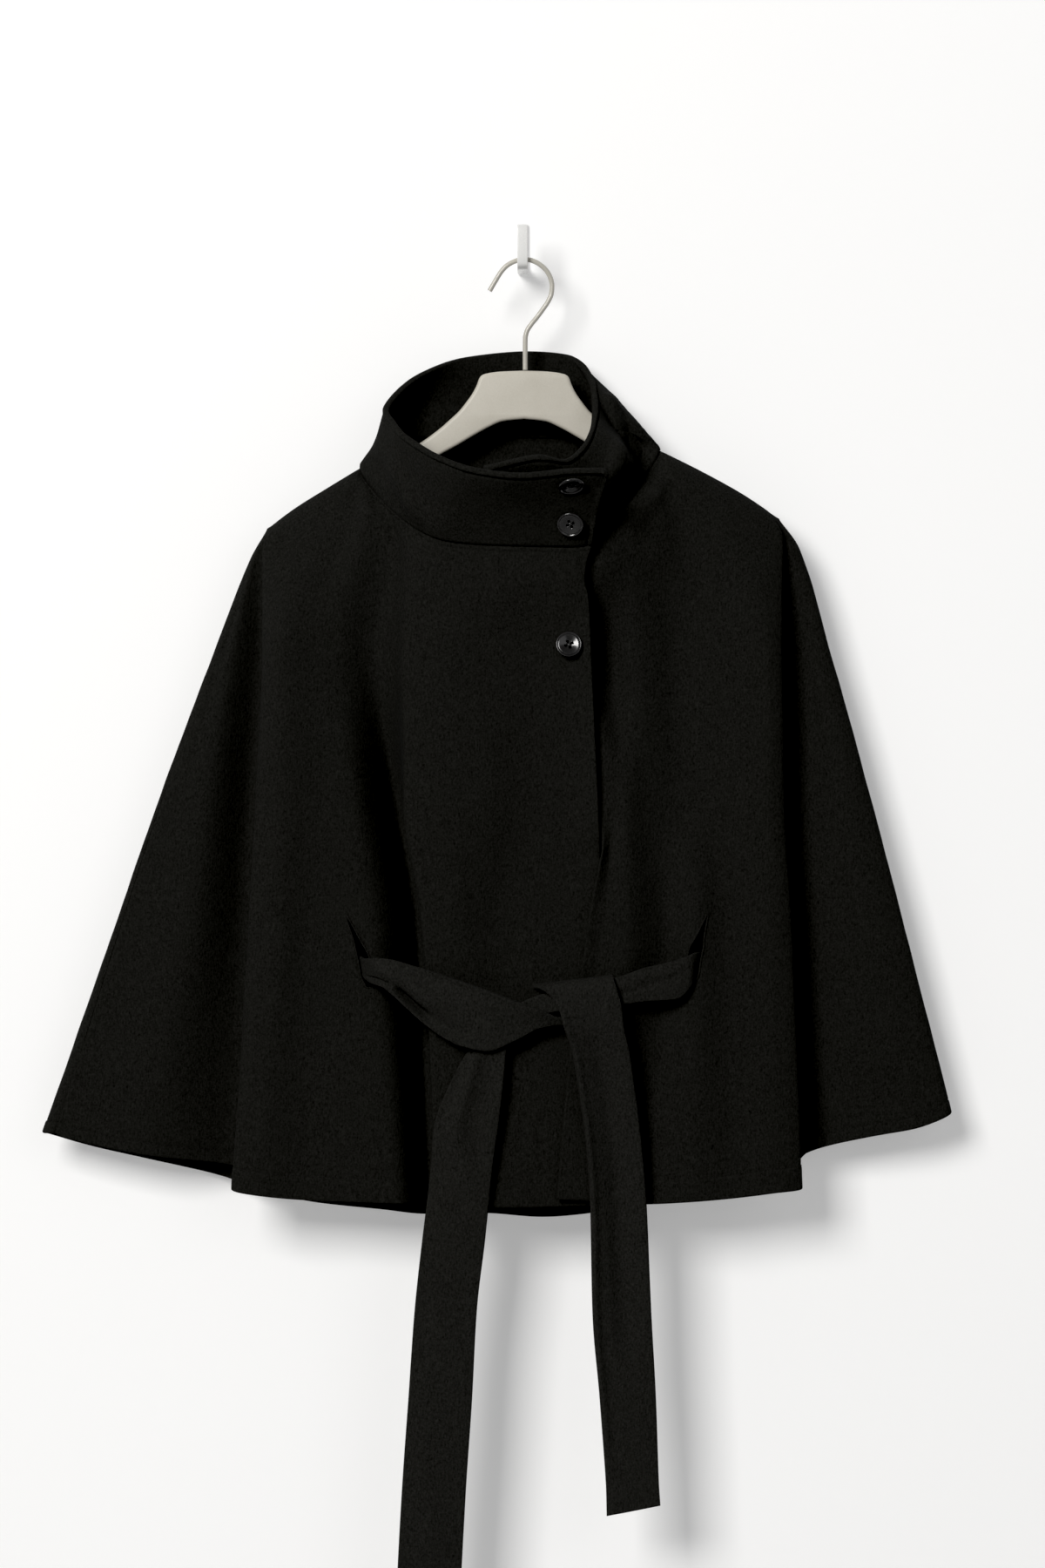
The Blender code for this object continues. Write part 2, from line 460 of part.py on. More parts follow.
def make_wall(name, inner, outer, material):
    """A closed wall: a grid laid on the inner points, its faces extruded to the outer ones."""
    across, down = inner.shape[0], inner.shape[1]
    mesh = bpy.data.meshes.new(name)
    shape = bmesh.new()
    bmesh.ops.create_grid(shape, x_segments=across - 1, y_segments=down - 1, size=0.5)
    cell = shape.verts.layers.int.new("cell")
    flat_inner, flat_outer = inner.reshape(-1, 3), outer.reshape(-1, 3)
    for vert in shape.verts:
        i = round((vert.co.x + 0.5) * (across - 1))
        j = round((vert.co.y + 0.5) * (down - 1))
        vert[cell] = i * down + j
        vert.co = flat_inner[vert[cell]]
    made = bmesh.ops.extrude_face_region(shape, geom=shape.faces[:])
    for vert in made["geom"]:
        if isinstance(vert, bmesh.types.BMVert):
            vert.co = flat_outer[vert[cell]]
    bmesh.ops.recalc_face_normals(shape, faces=shape.faces[:])
    shape.to_mesh(mesh)
    shape.free()
    mesh.materials.append(material)
    mesh.shade_smooth()
    mesh.set_sharp_from_angle(angle=math.radians(50))
    return mesh


def ribbon(table, steps, across, thick):
    """Inner and outer points of a belt stretch through the rows of its table."""
    table = np.array(table, float)
    count = len(table)
    found = smooth(range(count), table, np.linspace(0, count - 1, (count - 1) * steps + 1))
    one = place(found[:, 0], found[:, 1], found[:, 2])
    other = place(found[:, 3], found[:, 4], found[:, 5])
    shares = np.linspace(0, 1, across + 1)
    grid = one[:, None] * (1 - shares)[None, :, None] + other[:, None] * shares[None, :, None]
    normal = unit(np.cross(np.gradient(grid, axis=0), other[:, None] - one[:, None]))
    stand = found[:, 6][:, None] * (1 - (2 * shares - 1) ** 2)[None, :] * MM
    grid = grid + normal * stand[:, :, None]
    normal = unit(np.cross(np.gradient(grid, axis=0), np.gradient(grid, axis=1)))
    return grid - normal * thick / 2, grid + normal * thick / 2


# ---- scene ------------------------------------------------------------------------------------------

def clear_scene():
    for found in list(bpy.data.objects):
        bpy.data.objects.remove(found)


def new_collection(name):
    made = bpy.data.collections.new(name)
    bpy.context.scene.collection.children.link(made)
    return made


def new_material(name, color, roughness, metallic=0.0):
    made = bpy.data.materials.new(name)
    made.use_nodes = True
    shader = made.node_tree.nodes["Principled BSDF"]
    shader.inputs["Base Color"].default_value = (*color, 1)
    shader.inputs["Roughness"].default_value = roughness
    shader.inputs["Metallic"].default_value = metallic
    return made


def add_mesh(name, mesh, collection):
    made = bpy.data.objects.new(name, mesh)
    collection.objects.link(made)
    return made


def outline_curve(name, points, thick, bevel, collection):
    """A flat outline in x and z, given thickness along y about its own plane."""
    curve = bpy.data.curves.new(name, "CURVE")
    curve.dimensions = "2D"
    curve.fill_mode = "BOTH"
    curve.extrude = thick / 2 - bevel
    curve.bevel_depth = bevel
    curve.bevel_resolution = 1
    curve.offset = -bevel
    spline = curve.splines.new("POLY")
    spline.points.add(len(points) - 1)
    for point, (x, z) in zip(spline.points, points):
        point.co = (x, z, 0, 1)
    spline.use_cyclic_u = True
    made = bpy.data.objects.new(name, curve)
    collection.objects.link(made)
    made.rotation_euler = (math.pi / 2, 0, 0)
    return made


def as_mesh(obj, collection):
    """Replaces a curve object by a closed mesh object of the same name and place."""
    bpy.context.view_layer.update()
    evaluated = obj.evaluated_get(bpy.context.evaluated_depsgraph_get())
    mesh = bpy.data.meshes.new_from_object(evaluated)
    shape = bmesh.new()
    shape.from_mesh(mesh)
    bmesh.ops.remove_doubles(shape, verts=shape.verts[:], dist=1e-5)
    bmesh.ops.recalc_face_normals(shape, faces=shape.faces[:])
    shape.to_mesh(mesh)
    shape.free()
    name, matrix = obj.name, obj.matrix_world.copy()
    bpy.data.objects.remove(obj)
    made = add_mesh(name, mesh, collection)
    made.matrix_world = matrix
    return made


def wire(name, points, radius, collection, material):
    """A round wire through points, read from a smooth curve."""
    curve = bpy.data.curves.new(name, "CURVE")
    curve.dimensions = "3D"
    curve.bevel_depth = radius
    curve.bevel_resolution = 2
    curve.use_fill_caps = True
    spline = curve.splines.new("POLY")
    spline.points.add(len(points) - 1)
    for point, co in zip(spline.points, points):
        point.co = (*co, 1)
    curve.materials.append(material)
    made = bpy.data.objects.new(name, curve)
    collection.objects.link(made)
    return made


def make_slit(name, rows, cutters):
    """A cutter through the front only, leaf shaped."""
    rows = np.array(rows, float)
    z = np.linspace(rows[0, 0], rows[-1, 0], SLIT_POINTS)
    found = smooth(-rows[:, 0], rows[:, 1:], -z)
    right = [(x + w, h) for (x, w), h in zip(found, z)]
    left = [(x - w, h) for (x, w), h in zip(found, z)]
    points = [(x * MM, h * MM) for x, h in right + left[::-1]]
    made = as_mesh(outline_curve(name, points, SLIT_CUTTER_LONG, 0, cutters), cutters)
    made.location.y = -SLIT_CUTTER_DEPTH
    made.hide_render = True
    made.display_type = "WIRE"
    return made


def cut(obj, cutter, name):
    modifier = obj.modifiers.new(name, "BOOLEAN")
    modifier.operation = "DIFFERENCE"
    modifier.solver = "EXACT"
    modifier.object = cutter


def button_mesh(material):
    """A turned disc with a raised rim and a dished middle, its back on z = 0."""
    r = BUTTON_RADIUS
    profile = ((0, 0), (r * 0.72, 0), (r * 0.97, 0.9 * MM), (r, 1.8 * MM), (r * 0.93, 2.7 * MM),
               (r * 0.80, 2.6 * MM), (r * 0.70, 1.9 * MM), (r * 0.3, 1.6 * MM), (0, 1.6 * MM))
    shape = bmesh.new()
    verts = [shape.verts.new((x, 0, z)) for x, z in profile]
    edges = [shape.edges.new(pair) for pair in zip(verts[:-1], verts[1:])]
    bmesh.ops.spin(shape, geom=verts + edges, cent=(0, 0, 0), axis=(0, 0, 1), angle=2 * math.pi,
                   steps=20, use_merge=True)
    bmesh.ops.remove_doubles(shape, verts=shape.verts[:], dist=1e-6)
    bmesh.ops.recalc_face_normals(shape, faces=shape.faces[:])
    mesh = bpy.data.meshes.new("button")
    shape.to_mesh(mesh)
    shape.free()
    mesh.materials.append(material)
    mesh.shade_smooth()
    mesh.set_sharp_from_angle(angle=math.radians(40))
    return mesh


def hole_cutter(name, cutters):
    shape = bmesh.new()
    for k in range(4):
        angle = math.pi / 4 + k * math.pi / 2
        made = bmesh.ops.create_cone(shape, cap_ends=True, segments=6, radius1=BUTTON_HOLE,
                                     radius2=BUTTON_HOLE, depth=HOLE_CUTTER_DEPTH)
        bmesh.ops.translate(shape, verts=made["verts"],
                            vec=(BUTTON_HOLES_AT * math.cos(angle), BUTTON_HOLES_AT * math.sin(angle), 1 * MM))
    mesh = bpy.data.meshes.new(name)
    shape.to_mesh(mesh)
    shape.free()
    made = add_mesh(name, mesh, cutters)
    made.hide_render = True
    made.display_type = "WIRE"
    return made


def nearest(cloth, columns, x, z):
    """(point, normal) of a panel's middle surface at x and z in mm, among its first columns."""
    flat = cloth.grid[:columns].reshape(-1, 3)
    normal = cloth.normal[:columns].reshape(-1, 3)
    away = (flat[:, 0] / MM - x) ** 2 + (flat[:, 2] / MM - z) ** 2
    near = np.argsort(away)[:4]
    weight = 1 / (away[near] + 1)
    weight /= weight.sum()
    return (np.array([x * MM, (flat[near, 1] * weight).sum(), z * MM]),
            unit((normal[near] * weight[:, None]).sum(axis=0)))


def main():
    clear_scene()
    parts = new_collection("wool_cloak")
    cutters = new_collection("cutters")
    wool = new_material("charcoal_wool", (0.012, 0.012, 0.011), 0.95)
    horn = new_material("dark_button", (0.02, 0.02, 0.02), 0.25)
    cream = new_material("cream_hanger", (0.80, 0.76, 0.68), 0.5)
    white = new_material("white_paint", (0.85, 0.85, 0.83), 0.4)

    right_grid, right_tops = front_grid("right")
    left_grid, left_tops = front_grid("left")
    back, back_neck = back_grid(right_tops, left_tops)
    right_neck = FLAP_END + (RIGHT_NECK - FLAP_END) * right_tops[right_tops <= 1]
    left_neck = UNDERLAP_END + (LEFT_NECK - UNDERLAP_END) * left_tops[left_tops <= 1]
    places = np.concatenate([right_neck, back_neck, left_neck[::-1]])
    collar_points = collar_grid(places)

    ahead = np.array([0, -1, 0.0])
    front_right, front_left = Cloth(right_grid, ahead), Cloth(left_grid, ahead)
    back_panel = Cloth(back, -ahead)
    middle = collar_points.mean(axis=(0, 1))
    collar = Cloth(collar_points, collar_points - middle)

    right_count, left_count = len(right_neck), len(left_neck)
    right_arm, left_arm = len(right_tops) - right_count + 1, len(left_tops) - left_count + 1
    last = len(places) - 1

    def line(columns, row, inside):
        columns = np.asarray(columns)
        return columns, np.full(len(columns), row), columns, np.full(len(columns), inside)

    def side_line(column, inside):
        rows = np.arange(len(ROWS))
        return np.full(len(rows), column), rows, np.full(len(rows), inside), rows

    # Neckline: the collar's bottom row on the panels' top rows.
    neck_right = sew(front_right, line(range(right_count), 0, 2), collar, line(range(right_count), 0, 1))
    neck_left = sew(front_left, line(range(left_count), 0, 2),
                    collar, line(range(last, last - left_count, -1), 0, 1))
    back_columns = range(right_arm - 1, right_arm - 1 + len(back_neck) + 2)
    collar_columns = range(right_count - 1, right_count - 1 + len(back_neck) + 2)
    sew(back_panel, line(back_columns, 0, 2), collar, line(collar_columns, 0, 1))
    # Shoulders.
    arm_right = sew(front_right, line(range(right_count - 1, len(right_tops)), 0, 1),
                    back_panel, line(range(right_arm - 1, -1, -1), 0, 1))
    arm_left = sew(front_left, line(range(left_count - 1, len(left_tops)), 0, 1),
                   back_panel, line(range(len(back) - left_arm, len(back)), 0, 1))
    # Overarm seams.
    sew(front_right, side_line(-1, -2), back_panel, side_line(0, 1))
    sew(front_left, side_line(-1, -2), back_panel, side_line(-1, -2))
    # The three pieces that meet at a neck point share one direction there.
    for front, count, arm, neck, back_at, collar_at in (
            (front_right, right_count, arm_right, neck_right, right_arm - 1, right_count - 1),
            (front_left, left_count, arm_left, neck_left, len(back) - left_arm, last - left_count + 1)):
        shared = unit(unit(arm[0]) + unit(neck[-1]))
        front.normal[count - 1, 0] = back_panel.normal[back_at, 0] = collar.normal[collar_at, 0] = shared

    panels = {}
    for name, cloth in (("front_right", front_right), ("front_left", front_left), ("back", back_panel),
                        ("collar", collar)):
        panels[name] = add_mesh(name, make_wall(name, *cloth.wall(CLOTH), wool), parts)
    cut(panels["front_right"], make_slit("cut_slit_right", RIGHT_SLIT, cutters), "slit")
    cut(panels["front_left"], make_slit("cut_slit_left", LEFT_SLIT, cutters), "slit")

    for name, table, steps, across in (("belt_sling", BELT_SLING, 2, 6), ("belt_loop", BELT_LOOP, 2, 4),
                                       ("belt_strap", BELT_STRAP, 2, 4), ("belt_tail", BELT_TAIL, 2, 4),
                                       ("belt_back", BELT_BACK, 2, 2)):
        inner, outer = ribbon(table, steps, across, BELT_CLOTH)
        add_mesh(name, make_wall(name, inner, outer, wool), parts)

    # Buttons, each on the points of the cloth below it, moved out.
    holes = hole_cutter("cut_button_holes", cutters)
    for number, (x, z, stand, *facing) in enumerate(BUTTONS, 1):
        on_flap = number < len(BUTTONS)
        point, normal = nearest(collar if on_flap else front_right, right_count, x, z)
        made = add_mesh(f"button_{number}", button_mesh(horn), parts)
        made.location = Vector(point + normal * (CLOTH / 2 + stand * MM))
        made.rotation_euler = Vector(facing).to_track_quat("Z", "Y").to_euler()
        cutter = add_mesh(f"cut_button_{number}", holes.data, cutters)
        cutter.location, cutter.rotation_euler = made.location, made.rotation_euler
        cutter.hide_render = True
        cutter.display_type = "WIRE"
        cut(made, cutter, "holes")

    half = HANGER_TOP + HANGER_UNDER
    whole = list(half) + [(-x, z) for x, z in half[-2:0:-1]]
    outline = outline_curve("hanger", [(x * MM, z * MM) for x, z in whole], HANGER_THICK, 3 * MM, parts)
    hanger = as_mesh(outline, parts)
    hanger.location.y = -HANGER_DEPTH
    hanger.data.materials.append(cream)
    wire("hanger_hook", [(x * MM, -HANGER_DEPTH, z * MM) for x, z in HOOK], WIRE_RADIUS, parts, cream)

    points = [(-depth * MM, z * MM) for depth, z in WALL_HOOK]
    wall_hook = as_mesh(outline_curve("wall_hook", points, WALL_HOOK_WIDTH, 0, parts), parts)
    wall_hook.rotation_euler = (math.pi / 2, 0, math.pi / 2)
    wall_hook.location.x = WALL_HOOK_X
    wall_hook.data.materials.append(white)


main()
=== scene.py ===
import math
import bmesh
import bpy
import numpy as np
from mathutils import Matrix, Vector, noise
from mathutils.bvhtree import BVHTree


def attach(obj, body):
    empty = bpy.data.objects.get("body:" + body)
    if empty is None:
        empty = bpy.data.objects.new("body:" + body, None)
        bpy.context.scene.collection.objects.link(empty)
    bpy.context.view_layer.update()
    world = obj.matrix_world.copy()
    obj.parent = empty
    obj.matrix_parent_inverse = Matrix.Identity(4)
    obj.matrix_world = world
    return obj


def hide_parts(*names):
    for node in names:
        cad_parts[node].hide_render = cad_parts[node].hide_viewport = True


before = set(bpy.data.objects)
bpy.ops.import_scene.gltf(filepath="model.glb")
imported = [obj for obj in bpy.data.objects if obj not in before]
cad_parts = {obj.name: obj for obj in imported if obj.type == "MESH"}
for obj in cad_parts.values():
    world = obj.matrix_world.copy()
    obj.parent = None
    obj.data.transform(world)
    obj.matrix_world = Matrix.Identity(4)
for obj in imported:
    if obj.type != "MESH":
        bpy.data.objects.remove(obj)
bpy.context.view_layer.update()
mm = 0.001


def addObject(name, data):
    made = bpy.data.objects.new(name, data)
    bpy.context.scene.collection.objects.link(made)
    return made


def setInputs(node, values):
    for name, value in values.items():
        node.inputs[name].default_value = value


# straight on, with a long lens, in metres; the sensor in mm
camera = {"x": -0.0015, "fromWall": 4.5, "z": -0.455, "subjectDepth": 0.06, "frameHeight": 1.332,
          "sensorHeight": 36, "clipEnd": 60}


def addCamera(c):
    data = bpy.data.cameras.new("camera")
    data.sensor_fit = "VERTICAL"
    data.sensor_height = c["sensorHeight"]
    data.lens = c["sensorHeight"] * (c["fromWall"] - c["subjectDepth"]) / c["frameHeight"]
    data.clip_end = c["clipEnd"]
    made = addObject("camera", data)
    made.location = (c["x"], -c["fromWall"], c["z"])
    made.rotation_euler = (math.pi / 2, 0, 0)
    bpy.context.scene.camera = made


addCamera(camera)

# pale wall and floor, a key from the left, a weak fill and an even world, in metres
studio = {
    "size": 9.0, "roughness": 0.9, "specular": 0.1, "worldStrength": 0.10,
    "blackLevel": 0.007,  # the darkest tones close up
    # name, tone, glow, turn, place
    "backdrops": (
        ("wall", 0.765, 0.305, math.pi / 2, (0, 0.0015, 0)),
        ("floor", 0.30, 0.0, 0, (0, 0, -1.9)),
    ),
    # name, place, aim, size, watts, color
    "lights": (
        ("key", (-2.4, -5.15, 1.9), (0, 0, -0.45), 2.2, 306, (1.0, 0.99, 0.97)),
        ("fill", (2.2, -4.2, 0.8), (0, 0, -0.5), 2.6, 16, (0.98, 0.99, 1.0)),
    ),
}


def backdropMaterial(s, tone, glow):
    # a wall that glows a little, as an evenly lit studio wall does, so that shadows on it stay soft
    made = bpy.data.materials.new("backdropPaint")
    made.use_nodes = True
    tree = made.node_tree
    paint = tree.nodes["Principled BSDF"]
    setInputs(paint, {"Base Color": (tone, tone, tone, 1), "Roughness": s["roughness"],
                      "Specular IOR Level": s["specular"],
                      "Emission Color": (1, 1, 1, 1), "Emission Strength": glow})
    clear = tree.nodes.new("ShaderNodeBsdfTransparent")
    mix = tree.nodes.new("ShaderNodeMixShader")
    facing = tree.nodes.new("ShaderNodeNewGeometry")
    tree.links.new(facing.outputs["Backfacing"], mix.inputs[0])  # from behind, the wall isn't there
    tree.links.new(paint.outputs[0], mix.inputs[1])
    tree.links.new(clear.outputs[0], mix.inputs[2])
    tree.links.new(mix.outputs[0], tree.nodes["Material Output"].inputs["Surface"])
    return made


def addStudio(s):
    for name, tone, glow, turn, where in s["backdrops"]:
        shape = bmesh.new()
        bmesh.ops.create_grid(shape, x_segments=1, y_segments=1, size=s["size"] / 2)
        data = bpy.data.meshes.new(name)
        shape.to_mesh(data)
        shape.free()
        data.materials.append(backdropMaterial(s, tone, glow))
        made = addObject(name, data)
        made.rotation_euler = (turn, 0, 0)
        made.location = where
    world = bpy.data.worlds.new("studioWorld")
    world.use_nodes = True
    setInputs(world.node_tree.nodes["Background"], {"Color": (1, 1, 1, 1), "Strength": s["worldStrength"]})
    bpy.context.scene.world = world
    for name, where, aim, size, watts, color in s["lights"]:
        data = bpy.data.lights.new(name, "AREA")
        data.energy, data.size, data.color = watts, size, color
        made = addObject(name, data)
        made.location = where
        made.rotation_euler = (Vector(aim) - Vector(where)).to_track_quat("-Z", "Y").to_euler()
    view = bpy.context.scene.view_settings
    view.view_transform = "Standard"
    view.use_curve_mapping = True
    view.curve_mapping.black_level = (s["blackLevel"],) * 3
    view.curve_mapping.update()


addStudio(studio)
print("camera and studio done")


def newGroup(name, inputs, outputs):
    # inputs: name, type, default; outputs: name, type
    group = bpy.data.node_groups.new(name, "ShaderNodeTree")
    for label, kind, default in inputs:
        made = group.interface.new_socket(label, in_out="INPUT", socket_type=kind)
        if default is not None:
            made.default_value = default
    for label, kind in outputs:
        group.interface.new_socket(label, in_out="OUTPUT", socket_type=kind)
    return group, group.nodes.new("NodeGroupInput"), group.nodes.new("NodeGroupOutput")


def addNoise(tree, vector, scale, detail, rough):
    node = tree.nodes.new("ShaderNodeTexNoise")
    setInputs(node, {"Scale": scale, "Detail": detail, "Roughness": rough})
    tree.links.new(vector, node.inputs["Vector"])
    return node.outputs["Fac"]


def addMath(tree, operation, a, b):
    node = tree.nodes.new("ShaderNodeMath")
    node.operation = operation
    for socket, value in zip(node.inputs, (a, b)):
        if isinstance(value, (int, float)):
            socket.default_value = value
        else:
            tree.links.new(value, socket)
    return node.outputs[0]


def addShares(tree, values, shares):
    # the sum of some values, each times its share
    parts = [addMath(tree, "MULTIPLY", value, share) for value, share in zip(values, shares)]
    total = parts[0]
    for part in parts[1:]:
        total = addMath(tree, "ADD", total, part)
    return total


def addSteps(tree, value, stops):
    node = tree.nodes.new("ShaderNodeValToRGB")
    for element, (at, color) in zip(node.color_ramp.elements, stops):
        element.position = at
        element.color = (*color, 1)
    tree.links.new(value, node.inputs["Fac"])
    return node.outputs["Color"]


nap = {
    # fineness per metre, detail, roughness
    "grain": (620.0, 2.0, 0.6),  # fibre ends
    "fibre": (1.0, 1.0, 0.5),  # fibres, as fine as brushed says
    "felt": (260.0, 2.0, 0.6),  # felted tufts
    "cloudy": (40.0, 3.0, 0.6),  # where the nap lies another way
    "brushed": (900.0, 900.0, 300.0),  # fineness of the fibres, brushed downwards
    "height": (0.45, 0.35, 0.25),  # shares of grain, fibre and felt
    "mask": (0.55, 0.40, 0.03),  # shares of grain, fibre and cloudy
}
# a finish may give its own scale; shares of the fine and the broad unevenness
speck = {"scale": 400.0, "detail": 4.0, "roughness": 0.5, "broad": (30.0, 3.0, 0.6), "amount": (0.5, 0.5)}


def napGroup(n):
    group, given, out = newGroup("wovenNap", [("Vector", "NodeSocketVector", None)],
                                 [("Height", "NodeSocketFloat"), ("Grain", "NodeSocketFloat")])
    vector = given.outputs["Vector"]
    brushed = group.nodes.new("ShaderNodeMapping")
    setInputs(brushed, {"Scale": n["brushed"]})
    group.links.new(vector, brushed.inputs["Vector"])
    grain = addNoise(group, vector, *n["grain"])
    fibre = addNoise(group, brushed.outputs[0], *n["fibre"])
    felt = addNoise(group, vector, *n["felt"])
    cloudy = addNoise(group, vector, *n["cloudy"])
    group.links.new(addShares(group, (grain, fibre, felt), n["height"]), out.inputs["Height"])
    group.links.new(addShares(group, (grain, fibre, cloudy), n["mask"]), out.inputs["Grain"])
    return group


def speckGroup(s):
    # a fine unevenness for moulded, coated and polished pieces
    group, given, out = newGroup("fineUneven", [("Vector", "NodeSocketVector", None),
                                                ("Scale", "NodeSocketFloat", s["scale"])],
                                 [("Height", "NodeSocketFloat"), ("Amount", "NodeSocketFloat")])
    vector = given.outputs["Vector"]
    fine = addNoise(group, vector, s["scale"], s["detail"], s["roughness"])
    group.links.new(given.outputs["Scale"], fine.node.inputs["Scale"])
    group.links.new(fine, out.inputs["Height"])
    amount = addShares(group, (fine, addNoise(group, vector, *s["broad"])), s["amount"])
    group.links.new(amount, out.inputs["Amount"])
    return group


napEffect, speckEffect = napGroup(nap), speckGroup(speck)

woolNap = {"effect": napEffect, "roughness": 1.0, "specular": 0.02, "bump": 0.9, "bumpDepth": 0.0011,
           "sheen": 0.012, "sheenRoughness": 0.6, "sheenTint": (0.75, 0.76, 0.78)}
finishes = {
    "wool": {**woolNap, "dark": (0.0075, 0.0075, 0.0070), "light": (0.0226, 0.0225, 0.0207)},
    # the belt is a lighter copy of the wool: painted light, for the brighter light that falls on the belt
    # and its tails
    "belt": {**woolNap, "dark": (0.0092, 0.0092, 0.0086), "light": (0.0276, 0.0274, 0.0254)},
    "thread": {"dark": (0.003, 0.003, 0.003), "light": (0.010, 0.010, 0.009), "roughness": 0.7,
               "specular": 0.12, "bump": 0.3, "bumpDepth": 0.0002, "scale": 2600.0},
    "button": {"dark": (0.010, 0.010, 0.0105), "light": (0.020, 0.0195, 0.019), "roughness": (0.16, 0.24),
               "specular": 0.5, "bump": 0.05, "bumpDepth": 0.0002, "scale": 700.0, "coat": 0.25},
    "hanger": {"dark": (0.52, 0.49, 0.42), "light": (0.60, 0.57, 0.50), "roughness": (0.34, 0.50),
               "specular": 0.45, "bump": 0.05, "bumpDepth": 0.0003, "scale": 900.0},
    "hook": {"dark": (0.46, 0.44, 0.39), "light": (0.54, 0.52, 0.46), "roughness": (0.22, 0.34),
             "specular": 0.5, "bump": 0.04, "bumpDepth": 0.0002, "scale": 1500.0, "coat": 0.2},
    "wallHook": {"dark": (0.80, 0.80, 0.79), "light": (0.87, 0.87, 0.86), "roughness": (0.2, 0.32),
                 "specular": 0.5, "bump": 0.04, "bumpDepth": 0.0002, "scale": 1200.0, "coat": 0.3},
}
# where an effect's value turns from dark to light, and from the least roughness to the most
spread = {"color": (0.28, 0.72), "roughness": (0.3, 0.7)}


def makeFinish(name, f):
    made = bpy.data.materials.new(name)
    made.use_nodes = True
    tree = made.node_tree
    shader = tree.nodes["Principled BSDF"]
    group = tree.nodes.new("ShaderNodeGroup")
    group.node_tree = f.get("effect", speckEffect)
    tree.links.new(tree.nodes.new("ShaderNodeTexCoord").outputs["Object"], group.inputs["Vector"])
    if "scale" in f:
        setInputs(group, {"Scale": f["scale"]})
    amount = group.outputs[1]
    color = addSteps(tree, amount, zip(spread["color"], (f["dark"], f["light"])))
    tree.links.new(color, shader.inputs["Base Color"])
    setInputs(shader, {"Specular IOR Level": f["specular"], "Coat Weight": f.get("coat", 0),
                       "Sheen Weight": f.get("sheen", 0)})
    if "sheen" in f:
        setInputs(shader, {"Sheen Roughness": f["sheenRoughness"], "Sheen Tint": (*f["sheenTint"], 1)})
    if isinstance(f["roughness"], tuple):
        between = tree.nodes.new("ShaderNodeMapRange")
        low, high = spread["roughness"]
        least, most = f["roughness"]
        setInputs(between, {"From Min": low, "From Max": high, "To Min": least, "To Max": most})
        tree.links.new(amount, between.inputs["Value"])
        tree.links.new(between.outputs[0], shader.inputs["Roughness"])
    else:
        setInputs(shader, {"Roughness": f["roughness"]})
    bump = tree.nodes.new("ShaderNodeBump")
    setInputs(bump, {"Strength": f["bump"], "Distance": f["bumpDepth"]})
    tree.links.new(group.outputs["Height"], bump.inputs["Height"])
    tree.links.new(bump.outputs[0], shader.inputs["Normal"])
    return made


finish = {name: makeFinish(name, f) for name, f in finishes.items()}
print("finishes done")

# how the cloth is cut and sewn, in mm
cloth = {
    "thick": 2.3, "hemThick": 3.6, "collarThick": 4.6, "beltThick": 4.0,
    "edgeRound": 1.6,  # radius of a turned edge
    "seamSink": 2.4, "seamSharp": 1.6,  # how far from a seam the cloth starts to dip into it, how sharply
    "seamDip": 0.55,  # share of the outer half that is lost at the seam
    "mitre": 1.5, "mitreLeast": 0.6,  # how far from a seam its panels share their direction, and its limit
    "intoSeam": 6,  # grid lines from a seam to where its slope is measured
    "bodyHem": 21.0, "sleeveHem": 11.0, "hemFade": 0.7,
    "topstitch": 4.4, "groove": 0.5, "grooveWidth": 1.1,
    "rimStitch": 5.0, "rimRoll": 1.2, "rimRollWidth": 1.6, "rimGroove": 1.2,
    "stillAtSeam": 7,  # creases fade out this far from a panel's top edge
    "creaseTurn": 1.6,  # and where the cloth turns away, this sharply
    "yokeDrop": 25, "chest": -340, "waist": -470, "belt": -570,
}
# edges sharper than this stay sharp, in degrees
sharp = {"cloth": 50, "thread": 60, "button": 40, "hard": 35}
# distances from an edge where a grid line runs
edgeSteps = (0, 0.35, 0.9, 1.7, 3.0)
seamSteps = (0, 0.4, 1.0, 1.8, 2.7, 3.6, 4.4, 5.2, 6.4, 8.2, 10.6, 13.5, 17.0, 21.0)
hemSteps = (0, 0.35, 0.9, 1.8, 3.2, 5.2, 8.0, 11.4, 15.0, 18.0, 20.0, 21.0, 22.0, 23.6, 26.0)
rimSteps = (0, 0.35, 0.9, 1.6, 2.4, 3.2, 4.0, 4.6, 5.3, 6.2, 7.6, 9.4)


def smoothRows(knots, values, at):
    # a smooth curve through rows of values that never overshoots them
    knots = np.asarray(knots, float)
    values = np.asarray(values, float).reshape(len(knots), -1)
    at = np.clip(np.atleast_1d(np.asarray(at, float)), knots[0], knots[-1])
    span = np.diff(knots)[:, None]
    slope = np.diff(values, axis=0) / span
    tangent = np.zeros_like(values)
    same = slope[:-1] * slope[1:] > 0
    total = np.where(same, slope[:-1] + slope[1:], 1)
    tangent[1:-1] = np.where(same, 2 * slope[:-1] * slope[1:] / total, 0)
    tangent[0], tangent[-1] = slope[0], slope[-1]
    i = np.clip(np.searchsorted(knots, at, side="right") - 1, 0, len(knots) - 2)
    t = ((at - knots[i]) / span[i, 0])[:, None]
    h = span[i]
    return ((2 * t**3 - 3 * t**2 + 1) * values[i] + (t**3 - 2 * t**2 + t) * h * tangent[i]
            + (3 * t**2 - 2 * t**3) * values[i + 1] + (t**3 - t**2) * h * tangent[i + 1])


def place(x, depth, z):
    return np.stack([np.asarray(x), -np.asarray(depth), np.asarray(z)], axis=-1).astype(float)


def unitOf(vectors):
    return vectors / np.maximum(np.linalg.norm(vectors, axis=-1, keepdims=True), 1e-9)


